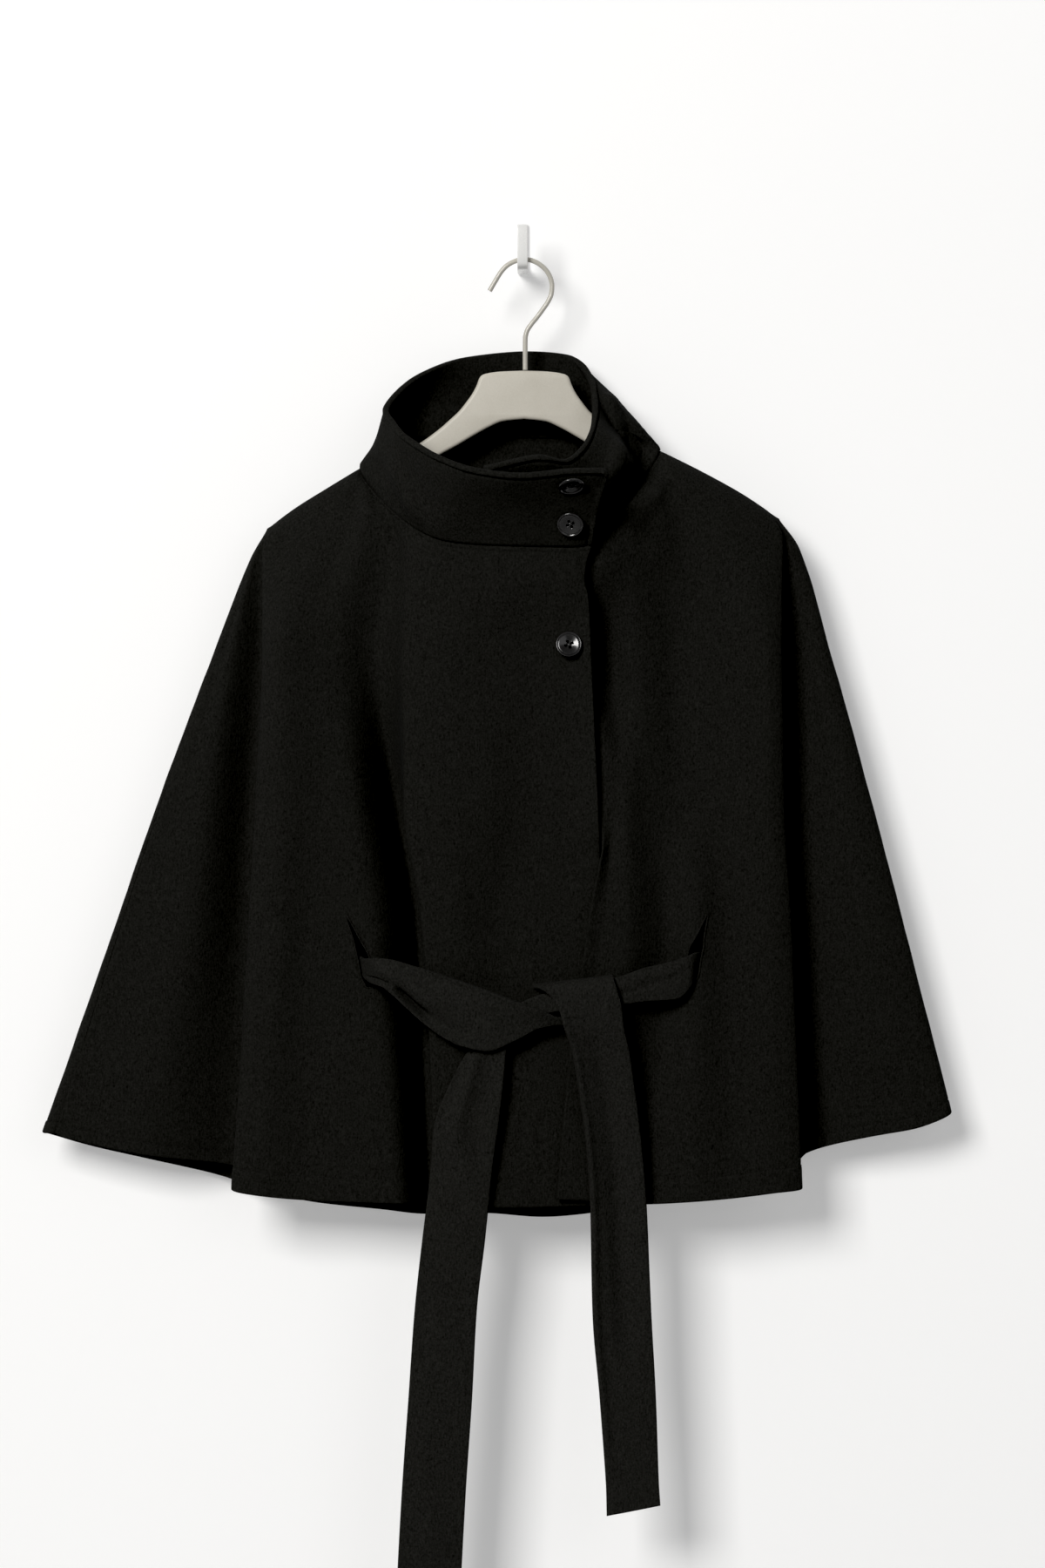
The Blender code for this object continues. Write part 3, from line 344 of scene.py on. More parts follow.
def stepped(knots, steps):
    found = [np.linspace(a, b, int(n), endpoint=False) for a, b, n in zip(knots[:-1], knots[1:], steps)]
    return np.concatenate(found + [knots[-1:]])


def lengthsAlong(line):
    return np.concatenate([[0], np.cumsum(np.linalg.norm(np.diff(line, axis=0), axis=1))])


def rowsAt(rows, distances):
    # rows of points, or of points and what goes with them, at distances along the points' line
    along = lengthsAlong(rows[:, :3])
    return np.stack([np.interp(distances, along, rows[:, k]) for k in range(rows.shape[1])], axis=-1)


def spaceDown(grid, startAt, endAt, endScale, count):
    # every column gets lines at set distances from both ends and even ones between
    made = []
    for column, scale in zip(grid, endScale):
        length = lengthsAlong(column)[-1]
        first, last = np.array(startAt), length - np.array(endAt)[::-1] * scale
        between = np.linspace(first[-1], last[0], count + 2)[1:-1]
        made.append(rowsAt(column, np.concatenate([first, between, last])))
    return np.array(made)


def normalsOf(grid, towards):
    normal = unitOf(np.cross(np.gradient(grid, axis=0), np.gradient(grid, axis=1)))
    return normal * (np.sign((normal * towards).sum(axis=-1).mean()) or 1)


def edgeDistances(grid):
    # how far each point is from the first and last column and row
    across = np.array([lengthsAlong(grid[:, j]) for j in range(grid.shape[1])]).T
    down = np.array([lengthsAlong(column) for column in grid])
    return {"first": across, "last": across[-1:] - across, "top": down, "bottom": down[:, -1:] - down}


def rounded(distance, radius, least=0.3):
    t = np.clip(distance / radius, 0, 1)
    return least + (1 - least) * np.sqrt(1 - (1 - t) ** 2)


def relief(u, v, rows):
    # soft ridges and troughs that fade towards both ends of a line: width, height, the line's corners
    total = np.zeros_like(u)
    for width, height, *corners in rows:
        line = np.array(corners, float)
        along = lengthsAlong(line)
        nearest, share = np.full(u.shape, np.inf), np.zeros_like(u)
        for start, (du, dv), at in zip(line[:-1], np.diff(line, axis=0), along[:-1]):
            t = np.clip(((u - start[0]) * du + (v - start[1]) * dv) / (du * du + dv * dv), 0, 1)
            away = np.hypot(u - start[0] - t * du, v - start[1] - t * dv)
            nearer = away < nearest
            share = np.where(nearer, (at + t * math.hypot(du, dv)) / along[-1], share)
            nearest = np.where(nearer, away, nearest)
        total += height * np.exp(-(nearest / width) ** 2) * (1 - (2 * share - 1) ** 4)
    return total


def uneven(points, amount, size, seed):
    # gentle waves that no pressed cloth is free of
    flat = points.reshape(-1, 3) / size
    found = np.array([noise.noise(Vector(p) + Vector((seed, 0, 0))) for p in flat])
    return (found * amount).reshape(points.shape[:-1])


def finishMesh(name, shape, material, sharpAngle):
    data = bpy.data.meshes.new(name)
    shape.to_mesh(data)
    shape.free()
    data.materials.append(material)
    data.shade_smooth()
    data.set_sharp_from_angle(angle=math.radians(sharpAngle))
    return addObject(name, data)


def clothMesh(name, inner, outer, material):
    # a grid on the inner points, extruded to the outer ones
    across, down = inner.shape[:2]
    shape = bmesh.new()
    bmesh.ops.create_grid(shape, x_segments=across - 1, y_segments=down - 1, size=0.5)
    cell = shape.verts.layers.int.new("cell")
    flatInner, flatOuter = inner.reshape(-1, 3) * mm, outer.reshape(-1, 3) * mm
    for vert in shape.verts:
        i = round((vert.co.x + 0.5) * (across - 1))
        j = round((vert.co.y + 0.5) * (down - 1))
        vert[cell] = i * down + j
        vert.co = flatInner[vert[cell]]
    made = bmesh.ops.extrude_face_region(shape, geom=shape.faces[:])
    for vert in made["geom"]:
        if isinstance(vert, bmesh.types.BMVert):
            vert.co = flatOuter[vert[cell]]
    bmesh.ops.recalc_face_normals(shape, faces=shape.faces[:])
    return finishMesh(name, shape, material, sharp["cloth"])


def takePlace(piece, slot, *nodes):
    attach(piece, "root")
    if nodes:
        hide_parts(*nodes)


# the neck from the end of the flap round to the end of the underlap, and the collar on it, in mm
neck = {
    # seam x, depth, z,  knee x, depth, z,  rim x, depth, z
    "rows": (
        (57.7, 108, -253.8,  62.2, 124, -225.7,  72.5, 149, -192.4),  # flap end
        (39.2, 109, -256.0,  40.0, 126, -225.7,  39.2, 152, -193.0),  # flap, at the buttons
        (-1.5, 109, -255.3,  -1.5, 125, -227.2,  -1.5, 152, -196.8),  # front, middle
        (-40.0, 106, -253.8,  -40.0, 121, -227.2,  -36.3, 147, -193.0),
        (-68.0, 100, -250.0,  -68.8, 111, -233.0,  -64.4, 136, -183.5),
        (-88.8, 91, -241.0,  -89.5, 100, -225.0,  -85.0, 122, -172.4),
        (-108.8, 78, -225.7,  -105.8, 90, -200.5,  -100.6, 107, -160.6),
        (-125.8, 63, -208.0,  -117.0, 73, -182.0,  -110.0, 91, -148.7),
        (-139.9, 46, -186.5,  -125.8, 54, -166.5,  -116.2, 74, -136.9),  # right neck point
        (-108.0, 26, -170.0,  -106.0, 26, -146.0,  -94.7, 46, -110.3),
        (-55.0, 17, -161.0,  -55.0, 16, -132.0,  -50.3, 24, -89.6),
        (0.0, 15, -158.0,  1.0, 14, -128.0,  2.2, 18, -83.9),  # back, middle
        (58.0, 18, -160.0,  52.0, 17, -130.0,  37.5, 22, -87.3),
        (98.0, 28, -164.0,  86.0, 28, -137.0,  53.5, 34, -105.5),
        (115.5, 46, -171.6,  90.0, 58, -146.0,  57.3, 50, -117.5),  # left neck point
        (107.3, 56, -187.2,  87.0, 53, -168.0,  58.5, 66, -131.0),  # deep crease
        (97.0, 68, -203.5,  80.0, 96, -175.4,  57.0, 88, -149.5),  # ridge in front of it
        (80.0, 84, -224.2,  66.6, 108, -194.6,  48.8, 112, -170.2),
        (57.7, 94, -240.5,  48.8, 110, -214.6,  31.8, 129, -183.5),  # here the flap covers it
        (28.0, 100, -249.4,  25.2, 110, -223.5,  11.8, 139, -180.6),
        (-23.7, 100, -250.9,  -23.7, 109, -225.7,  -34.0, 139, -190.2),  # underlap end
    ),
    "rightNeck": 8, "leftNeck": 14,  # the rows at the neck points
    "bend": 0.42,  # share of the way up at the knee
    "levels": 120, "rowsUp": 34,  # steps up before they are spaced, and grid lines between the edges' own
    "seamLines": 9,  # how many of the lines beside a seam it has
    "corner": 9, "cornerCells": (6, 7),  # the flap's rounded corner, and cells that give its two edges' ways
    # ridges and troughs laid in: width, height, then x, z along them
    "creases": (
        (5, 3.5, (-126, -160), (-114, -181), (-105, -198), (-95, -219), (-84, -238)),
        (11, -2.5, (-108, -165), (-96, -190), (-84, -215), (-74, -236)),
        (9, -9, (80, -126), (90, -142), (98, -158), (104, -174), (100, -190)),
        (6, -7, (92, -184), (86, -200), (76, -218), (62, -240)),
        (6, 6.5, (70, -122), (79, -148), (80, -172), (73, -200)),
    ),
}

# the two fronts, in mm
rightSide = {
    "neckAt": (0, 8),  # rows of the neck where this front starts and ends
    # x, depth, z along the shoulder seam; z, x down the overarm; how far in front of the arm's edge the
    # seam lies at the yoke, chest, waist, belt and hem; z, x, depth down the front edge
    "shoulder": ((-139.9, 46, -186.5), (-169, 44, -204), (-193, 43, -219), (-219, 42, -238)),
    "outline": ((-238, -219), (-263, -233), (-307, -251), (-381, -278), (-455, -306),
                (-529, -332), (-603, -358), (-677, -385), (-752.5, -410.5)),
    "seamShift": (0, 2, 6, 9, 15),
    "edge": ((-269, 52.5, 107), (-284, 51, 106), (-297, 54, 105), (-321, 55.5, 103), (-358, 57, 101),
             (-418, 60, 98), (-480, 62.8, 96), (-492, 63.3, 95.5), (-501, 63.9, 93), (-510, 64.1, 90),
             (-522, 64.3, 88.5), (-560, 66, 87), (-640, 69, 86), (-720, 66, 86), (-811, 60, 86)),
    # place on the top edge, steps, then x, depth at the yoke, chest, waist, belt and hem, and z there
    "folds": (
        (0.14, 3,  38, 108,  32, 98,  30, 88,  30, 84,  34, 85,  -812),  # button line
        (0.28, 2,  -4, 108,  -12, 97,  -8, 91,  -16, 84,  -12, 86,  -813),  # middle
        (0.43, 3,  -47, 104,  -60, 101,  -60, 99,  -60, 94,  -48, 91,  -813),
        (0.65, 2,  -93, 93,  -100, 96,  -101, 95,  -86, 93,  -73, 90,  -812),  # crest of the trough
        (0.72, 2,  -100, 85,  -108, 83,  -99, 67,  -82, 62,  -68, 64,  -812.5),  # its overhang
        (0.80, 3,  -111, 74,  -127, 69,  -109, 46,  -92, 42,  -80, 48,  -812.5),  # bottom of the trough
        (0.90, 3,  -132, 74,  -156, 80,  -144, 79,  -130, 78,  -108, 82,  -810),  # ridge with the slit
        (1.00, 2,  -148, 61,  -180, 84,  -176, 81,  -180, 78,  -180, 78,  -807.5),  # soft trough
        (1.45, 3,  -184, 62,  -204, 88,  -205, 86,  -208, 84,  -222, 84,  -803.5),
        (1.86, 2,  -222, 58,  -221, 73,  -227.5, 75,  -233, 75,  -247, 78,  -798.5),  # side fold
        (1.89, 2,  -219, 54,  -213, 60,  -213, 60,  -214, 58,  -222, 58,  -791),  # its return
        (1.92, 2,  -225, 50,  -226, 42,  -234, 34,  -240, 33,  -252, 34,  -780),  # valley
        (1.95, 2,  -228, 50,  -248, 53,  -270, 55,  -284, 56,  -322, 54,  -771),  # sleeve, middle
        (1.975, 1,  -230, 49,  -254, 50,  -294, 51,  -322, 51,  -372, 50.5,  -761),  # sleeve, outer
    ),
    # rows where the body ends and the sleeve is whole, and how far the first row lies from the edge
    "sleeveFrom": (10, 12), "firstFold": 27,
    # z, x, half of its width
    "slit": ((-566, -151, 0.4), (-585, -142.5, 2.4), (-602, -136, 4.8), (-616, -133, 5.2),
             (-627, -131, 2.4)),
    # width, height, then x, z along them
    "creases": (
        (15, -1.6, (8, -300), (6, -400), (4, -540)),
        (10, 1.2, (-28, -380), (-30, -470), (-28, -560)),
    ),
}
leftSide = {
    "neckAt": (20, 14),
    "shoulder": ((115.5, 46, -171.6), (149, 44, -188), (187, 43, -209), (217, 42, -229.5)),
    "outline": ((-229.5, 217), (-248, 231.5), (-277, 241), (-307, 250), (-381, 272),
                (-455, 292), (-529, 311), (-603, 331), (-677, 351), (-735, 364)),
    "seamShift": (0, 0, 0, 0, 0),
    "edge": ((-300, -18, 96.5), (-350, 0, 92.5), (-400, 24, 88), (-450, 48, 87), (-480, 61.3, 89.5),
             (-492, 64.8, 91), (-501, 65.6, 93.5), (-510, 65.5, 96), (-522, 63.2, 96.6), (-560, 56, 96),
             (-615, 48, 95), (-695, 37, 94), (-805.5, 27.4, 93)),
    "folds": (
        (0.14, 2,  2, 98,  34, 91,  74, 88,  68, 92,  46, 92.5,  -806.2),  # lap
        (0.32, 3,  60, 97,  71, 71,  85, 90,  86, 93,  70, 90,  -808.5),  # ridge beside the edge
        (0.55, 3,  86, 90,  95, 82,  108, 81,  120, 78,  102, 84,  -810.2),  # soft trough
        (0.80, 3,  112, 78,  131, 72,  134, 75,  145, 88,  142, 87,  -808),  # ridge with the slit
        (1.00, 2,  128, 66,  162, 75,  162, 76,  172, 80,  180, 82.5,  -805),  # soft trough
        (1.50, 3,  176, 64,  203, 83,  205, 83,  206, 83,  210, 85,  -801),
        (1.87, 2,  219, 58,  218, 74,  220, 75,  226, 75,  235, 79,  -797.5),  # side fold
        (1.90, 2,  217, 54,  210, 59,  208, 59,  210, 58,  214, 57,  -787),  # its return
        (1.93, 2,  222, 50,  223, 47,  230, 43,  237, 42,  245, 40,  -768),  # valley
        (1.955, 2,  226, 50,  240, 47,  260, 48,  277, 48,  298, 48,  -755),  # sleeve, middle
        (1.98, 1,  229, 49,  251, 49.5,  280, 51,  302, 51,  336, 50,  -748),  # sleeve, outer
    ),
    "sleeveFrom": (7, 9), "firstFold": 17,
    "slit": ((-566, 154.7, 0.4), (-584, 148.5, 3.4), (-595, 145, 5.8), (-612, 142, 5.8),
             (-625, 141.6, 1.8)),
    "creases": (
        (6, 2.4, (112, -184), (96, -212), (82, -236)),
        (8, -1.4, (130, -190), (112, -222), (98, -262)),
    ),
}
sides = {"right": rightSide, "left": leftSide}

arm = {
    "edgeDepth": 42, "edgeRound": 7.5,  # the cloth's turn over the arm's edge
    "shoulderRound": 9, "shoulderFall": 4,
    # where along the top edge the round shoulder starts and ends, and how fast
    "roundFrom": 0.9, "roundGrow": 0.12, "tipFrom": 1.9, "tipFade": 0.1,
    # the row in front of the seam: how far, where on the top edge, how far it hangs below the corner
    "roll": 7, "rollTop": 1.99, "rollDrop": 3,
    "edgeEase": 1.15,  # how fast the pull of the front edge's own line fades
}
grain = {
    "finer": 4, "rows": 168,  # grid lines for each step of the folds, and down the cloth
    "hangSteps": 420, "hangEase": 1.4,  # steps down a line before they are spaced, closer at the top
    "soften": 3, "softenShare": 0.5, "softenFrom": 24,  # how the folds are eased, in full from this line
    "waves": ((0.6, 62.0), (0.25, 21.0)), "waveSeed": 7.3,  # height and size of each
}

backPanel = {
    # share of the way round, then x, depth at the yoke, chest, waist, belt and hem, and z there
    "folds": (
        (0.32,  -229, 33,  -252, 32,  -292, 31,  -320, 30,  -372, 31,  -764),
        (0.46,  -226, 30,  -243, 27,  -268, 25,  -286, 24,  -322, 23,  -776),
        (0.60,  -219, 27,  -227, 20,  -240, 17,  -246, 16,  -258, 15,  -791.5),  # side ridge
        (0.72,  -205, 25,  -208, 20,  -214, 21,  -218, 22,  -222, 24,  -804),  # trough
        (0.86,  -176, 25,  -178, 16,  -180, 16,  -178, 15,  -172, 14,  -815),
        (1.00,  -146, 27,  -146, 18,  -142, 19,  -138, 19,  -126, 21,  -819),
        (1.25,  -94, 19,  -96, 15,  -92, 15,  -90, 14,  -82, 13,  -824),
        (1.45,  -42, 15,  -46, 17,  -42, 18,  -38, 19,  -34, 22,  -822.5),
        (1.62,  14, 15,  8, 15,  10, 15,  12, 14,  14, 14,  -826.5),
        (1.80,  62, 17,  62, 17,  62, 18,  60, 19,  58, 21,  -822.5),
        (2.00,  120, 27,  112, 15,  112, 15,  110, 14,  106, 13,  -813),
        (2.15,  156, 25,  158, 17,  160, 18,  162, 19,  164, 21,  -806),
        (2.28,  196, 25,  198, 19,  204, 18,  208, 17,  214, 16,  -798),
        (2.41,  217, 27,  224, 21,  232, 19,  238, 18,  250, 18,  -765.5),
        (2.54,  224, 30,  240, 27,  260, 25,  276, 24,  298, 24,  -755.5),
        (2.68,  228, 33,  250, 32,  278, 31,  300, 30,  334, 31,  -746),
    ),
    "rolls": ((0, 0), (0.06, 6), (0.12, 12), (0.19, 19)),  # share, how far behind the overarm seam
    "sleeves": (0.5, 0.68, 2.35, 2.5),  # shares where the sleeves end and start
    "neckSteps": 72,  # grid lines from neck point to neck point
}


def neckLine(at, column):
    table = np.array(neck["rows"])[:, 3 * column:3 * column + 3]
    return smoothRows(range(len(table)), table, at)


def topLine(side, top):
    # x, depth, z along a front's top edge: 0 to 1 is the neckline, 1 to 2 the shoulder
    s = sides[side]
    top = np.atleast_1d(np.asarray(top, float))
    start, end = s["neckAt"]
    onNeck = neckLine(start + (end - start) * np.clip(top, 0, 1), 0)
    onArm = smoothRows(np.linspace(1, 2, len(s["shoulder"])), s["shoulder"], np.clip(top, 1, 2))
    return np.where(top[:, None] <= 1, onNeck, onArm)


def overarm(side, behind):
    # x and depth at each level, at a distance behind the overarm seam
    outline, inward = np.array(sides[side]["outline"]), 1 if side == "right" else -1
    tip, corner = outline[0, 0], outline[-1, 0]
    quarter = arm["edgeRound"] * math.pi / 2
    found = []
    for z, shift in zip((tip - cloth["yokeDrop"], cloth["chest"], cloth["waist"], cloth["belt"], corner),
                        sides[side]["seamShift"]):
        x = smoothRows(outline[::-1, 0], outline[::-1, 1], z)[0, 0]
        along = shift - behind
        angle = np.clip(along, -quarter, quarter) / arm["edgeRound"]
        flat = max(abs(along) - quarter, 0)
        found += [x + inward * (arm["edgeRound"] * (1 - math.cos(angle)) + flat),
                  arm["edgeDepth"] + arm["edgeRound"] * math.sin(angle)]
    return found + [corner]


def hang(tops, levels, roundOff):
    # finely stepped lines from the top edge to the hem
    shares = np.linspace(0, 1, grain["hangSteps"]) ** grain["hangEase"]
    columns = []
    for top, level, off in zip(tops, levels, roundOff):
        heights = np.array([top[2], top[2] - cloth["yokeDrop"], cloth["chest"], cloth["waist"],
                            cloth["belt"], level[10]])
        knots = np.vstack([[top[0], top[1] + off], level[:10].reshape(5, 2)])
        z = top[2] + (level[10] - top[2]) * shares
        found = smoothRows(-heights, knots, -z)
        found[:, 1] -= off * np.exp((z - top[2]) / arm["shoulderFall"])
        columns.append(place(found[:, 0], found[:, 1], z))
    return np.array(columns)


def shoulderRound(amount, tops):
    return arm["shoulderRound"] * amount * (2 - tops.clip(arm["tipFrom"], 2)) / arm["tipFade"]


def spaceHung(grid, onSleeve):
    # grid lines close at the seam and the hem, and folds eased across, less towards the top and the sides
    hemScale = 1 - (1 - cloth["sleeveHem"] / cloth["bodyHem"]) * onSleeve
    grid = spaceDown(grid, seamSteps, hemSteps, hemScale, grain["rows"])
    keep = np.clip(np.arange(grid.shape[1]) / grain["softenFrom"], 0, 1)[None, :, None]
    for _ in range(grain["soften"]):
        across = (grid[:-2] + grid[2:]) / 2 - grid[1:-1]
        grid[3:-3] += across[2:-2] * grain["softenShare"] * keep
    return grid, hemScale


def frontGrid(side):
    s = sides[side]
    edge = np.array(s["edge"])
    heights = -np.array([edge[0, 0], cloth["chest"], cloth["waist"], cloth["belt"], edge[-1, 0]])
    atLevels = smoothRows(-edge[:, 0], edge[:, 1:], heights)
    rolled = [arm["rollTop"], 2, *overarm(side, -arm["roll"])]
    rolled[-1] = s["outline"][-1][0] - arm["rollDrop"]
    first, last = [0, 2, *atLevels.ravel(), edge[-1, 0]], [2, 1, *overarm(side, 0)]
    table = np.array([first, *s["folds"], rolled, last])
    columns = stepped(np.arange(len(table), dtype=float), table[:-1, 1] * grain["finer"])
    columns = np.union1d(columns, np.array(edgeSteps) / s["firstFold"])
    levels = smoothRows(range(len(table)), table[:, 2:], columns)
    tops = smoothRows(range(len(table)), table[:, :1], columns)[:, 0]
    atTop = topLine(side, tops)
    onShoulder = np.clip((tops - arm["roundFrom"]) / arm["roundGrow"], 0, 1)
    grid = hang(atTop, levels, shoulderRound(onShoulder, tops))
    line = np.vstack([[atTop[0][2], atTop[0][0], atTop[0][1]], edge])  # the front edge has its own line
    found = smoothRows(-line[:, 0], line[:, 1:], -grid[0, :, 2])
    moved = place(found[:, 0], found[:, 1], grid[0, :, 2]) - grid[0]
    grid += moved[None] * (np.clip(1 - columns, 0, 1) ** arm["edgeEase"])[:, None, None]
    bodyTo, sleeveFrom = s["sleeveFrom"]
    grid, hemScale = spaceHung(grid, np.clip((columns - bodyTo) / (sleeveFrom - bodyTo), 0, 1))
    return grid, tops, hemScale


def backGrid(rightTops, leftTops):
    # its shoulder columns are the fronts' own, so the seams meet point for point
    b = backPanel
    right, left = rightTops[rightTops >= 1][::-1], leftTops[leftTops >= 1]
    around = np.linspace(neck["rightNeck"], neck["leftNeck"], b["neckSteps"] + 1)[1:-1]
    atTop = np.vstack([topLine("right", right), neckLine(around, 0), topLine("left", left)])
    shares = np.concatenate([np.linspace(0, 1, len(right)),
                             1 + np.arange(1, len(around) + 1) / (len(around) + 1),
                             np.linspace(2, 3, len(left))])
    rows = [[share, *overarm("right", behind)] for share, behind in b["rolls"]]
    rows += [list(row) for row in b["folds"]]
    rows += [[3 - share, *overarm("left", behind)] for share, behind in b["rolls"][::-1]]
    table = np.array(rows, float)
    levels = smoothRows(table[:, 0], table[:, 1:], shares)
    tips = np.concatenate([right, np.ones(len(around)), left])
    onShoulder = np.concatenate([np.ones(len(right)), np.zeros(len(around)), np.ones(len(left))])
    grid = hang(atTop, levels, -shoulderRound(onShoulder, tips))
    grid, hemScale = spaceHung(grid, 1 - np.interp(shares, b["sleeves"], (0, 1, 1, 0)))
    return grid, around, hemScale


def collarGrid(places):
    # from the flap's end round to the underlap's end, from the seam up to the rim
    seam, knee, rim = (neckLine(places, k) for k in range(3))
    levels = np.linspace(0, 1, neck["levels"])
    columns = [smoothRows((0, neck["bend"], 1), rows, levels) for rows in zip(seam, knee, rim)]
    grid = np.array([place(*column.T) for column in columns])
    grid = spaceDown(grid, seamSteps[:neck["seamLines"]], rimSteps, np.ones(len(grid)), neck["rowsUp"])
    return roundCorner(grid, neck["corner"], *neck["cornerCells"])


def roundCorner(grid, radius, acrossCells, downCells):
    # the corner of the first column and the last row, where the edges run as these cells say
    away = edgeDistances(grid)
    a, b = radius - away["first"], radius - away["bottom"]
    corner = grid[0, -1]
    inward, down = unitOf(grid[acrossCells, -1] - corner), unitOf(grid[0, -1 - downCells] - corner)
    shrink = np.maximum(a, b) / np.maximum(np.hypot(a, b), 1e-9)
    move = (1 - shrink) * ((a > 0) & (b > 0))
    return grid + (a * move)[..., None] * inward + (b * move)[..., None] * down


class Panel:
    def __init__(self, grid, towards, hemScale=None):
        self.grid = grid
        self.flat = grid.copy()
        self.offset = normalsOf(grid, towards)
        self.hemScale = np.ones(len(grid)) if hemScale is None else hemScale

    def press(self, rows, front):
        # listed creases where the cloth faces the front, or the back, and waves all over
        facing = np.clip(-self.offset[..., 1] * front * cloth["creaseTurn"], 0, 1)
        height = relief(self.grid[..., 0], self.grid[..., 2], rows) * facing
        for k, (amount, size) in enumerate(grain["waves"]):
            height = height + uneven(self.grid, amount, size, grain["waveSeed"] * k + front)
        fade = 1 - np.exp(-(edgeDistances(self.grid)["top"] / cloth["stillAtSeam"]) ** 2)
        self.grid += self.offset * (height * fade)[..., None]
        self.offset = normalsOf(self.grid, self.offset)


def sew(first, firstColumns, second, secondColumns):
    # the direction that two panels share along their seam, so that they meet in a mitre
    a, b = first.flat[firstColumns, 0], second.flat[secondColumns, 0]
    intoA = unitOf(first.flat[firstColumns, cloth["intoSeam"]] - a)
    intoB = unitOf(second.flat[secondColumns, cloth["intoSeam"]] - b)
    tangent = unitOf(np.gradient(a, axis=0))
    normalA, normalB = unitOf(np.cross(tangent, intoA)), unitOf(np.cross(intoB, tangent))
    sign = np.sign((normalA * first.offset[firstColumns, 0]).sum(axis=-1).mean()) or 1
    normalA, normalB = normalA * sign, normalB * sign
    shared = unitOf(normalA + normalB)
    return shared / np.maximum((shared * normalA).sum(axis=-1, keepdims=True), cloth["mitreLeast"])


def thicken(panel, thick, free, sewn, hem=False):
    # inner and outer points; free edges are turned and round, sewn ones sink into their seam
    away = edgeDistances(panel.grid)
    thickness = np.full(panel.grid.shape[:2], float(thick))
    radius = cloth["edgeRound"]
    if hem:
        inside = away["bottom"] / panel.hemScale[:, None] - cloth["bodyHem"]
        thickness += (cloth["hemThick"] - thick) * (1 / (1 + np.exp(inside / cloth["hemFade"])))
        radius = cloth["hemThick"] / 2
    toFree = np.minimum.reduce([away[name] for name in free])
    half = thickness / 2 * rounded(toFree, radius)
    dip = 1
    if sewn:
        toSewn = np.minimum.reduce([away[name] for name in sewn])
        dip = 1 - cloth["seamDip"] * np.exp(-(toSewn / cloth["seamSink"] * cloth["seamSharp"]) ** 2)
    return panel.grid - panel.offset * half[..., None], panel.grid + panel.offset * (half * dip)[..., None]


def groove(panel, edge, distance, depth):
    # the cloth is drawn in along a row of stitches
    away = edgeDistances(panel.grid)[edge]
    if edge == "bottom":
        away = away / panel.hemScale[:, None]
    return -depth * np.exp(-((away - distance) / cloth["grooveWidth"]) ** 2)


def rim(panel, edge):
    # the collar's edge is rolled over a cord's width and drawn in along its stitches
    away = edgeDistances(panel.grid)[edge]
    roll = cloth["rimRoll"] * np.exp(-((away - cloth["rimStitch"] / 2) / cloth["rimRollWidth"]) ** 2)
    return roll + groove(panel, edge, cloth["rimStitch"], cloth["rimGroove"])


stitch = {"pitch": 3.3, "length": 2.5, "width": 0.5, "height": 0.42, "sink": 0.12, "aim": 0.6}


def addStitches(shape, points, normals, edge, distances, s=stitch):
    # along a line on a surface, at a distance from one of its edges
    both = np.concatenate([points, normals], axis=-1)
    rows = {"top": both, "bottom": both[:, ::-1], "first": both.transpose(1, 0, 2)}[edge]
    line = np.array([rowsAt(row, away) for row, away in zip(rows, np.broadcast_to(distances, len(rows)))])
    line[:, 3:] = unitOf(line[:, 3:])
    for at in np.arange(s["pitch"] / 2, lengthsAlong(line[:, :3])[-1] - s["pitch"] / 2, s["pitch"]):
        centre, normal = np.split(rowsAt(line, at), 2)
        ahead = unitOf((rowsAt(line, at + s["aim"]) - rowsAt(line, at - s["aim"]))[:3])
        normal = unitOf(normal - ahead * (normal @ ahead))
        side = np.cross(normal, ahead)
        centre = centre + normal * (s["height"] / 2 - s["sink"])
        turn = np.identity(4)
        axes = (ahead * s["length"] / 2, side * s["width"] / 2, normal * s["height"] / 2, centre)
        turn[:3] = np.column_stack(axes) * mm
        bmesh.ops.create_icosphere(shape, subdivisions=1, radius=1, matrix=Matrix(turn.tolist()))


rightGrid, rightTops, rightHem = frontGrid("right")
leftGrid, leftTops, leftHem = frontGrid("left")
backPoints, backNeck, backHem = backGrid(rightTops, leftTops)
rightPlaces = rightSide["neckAt"][1] * rightTops[rightTops <= 1]
leftStart, leftEnd = leftSide["neckAt"]
leftPlaces = leftStart + (leftEnd - leftStart) * leftTops[leftTops <= 1]
collarPoints = collarGrid(np.concatenate([rightPlaces, backNeck, leftPlaces[::-1]]))

ahead = np.array([0, -1, 0.0])
frontRight, frontLeft = Panel(rightGrid, ahead, rightHem), Panel(leftGrid, ahead, leftHem)
back = Panel(backPoints, -ahead, backHem)
collar = Panel(collarPoints, collarPoints - collarPoints.mean(axis=(0, 1)))
print("grids", rightGrid.shape, leftGrid.shape, backPoints.shape, collarPoints.shape)


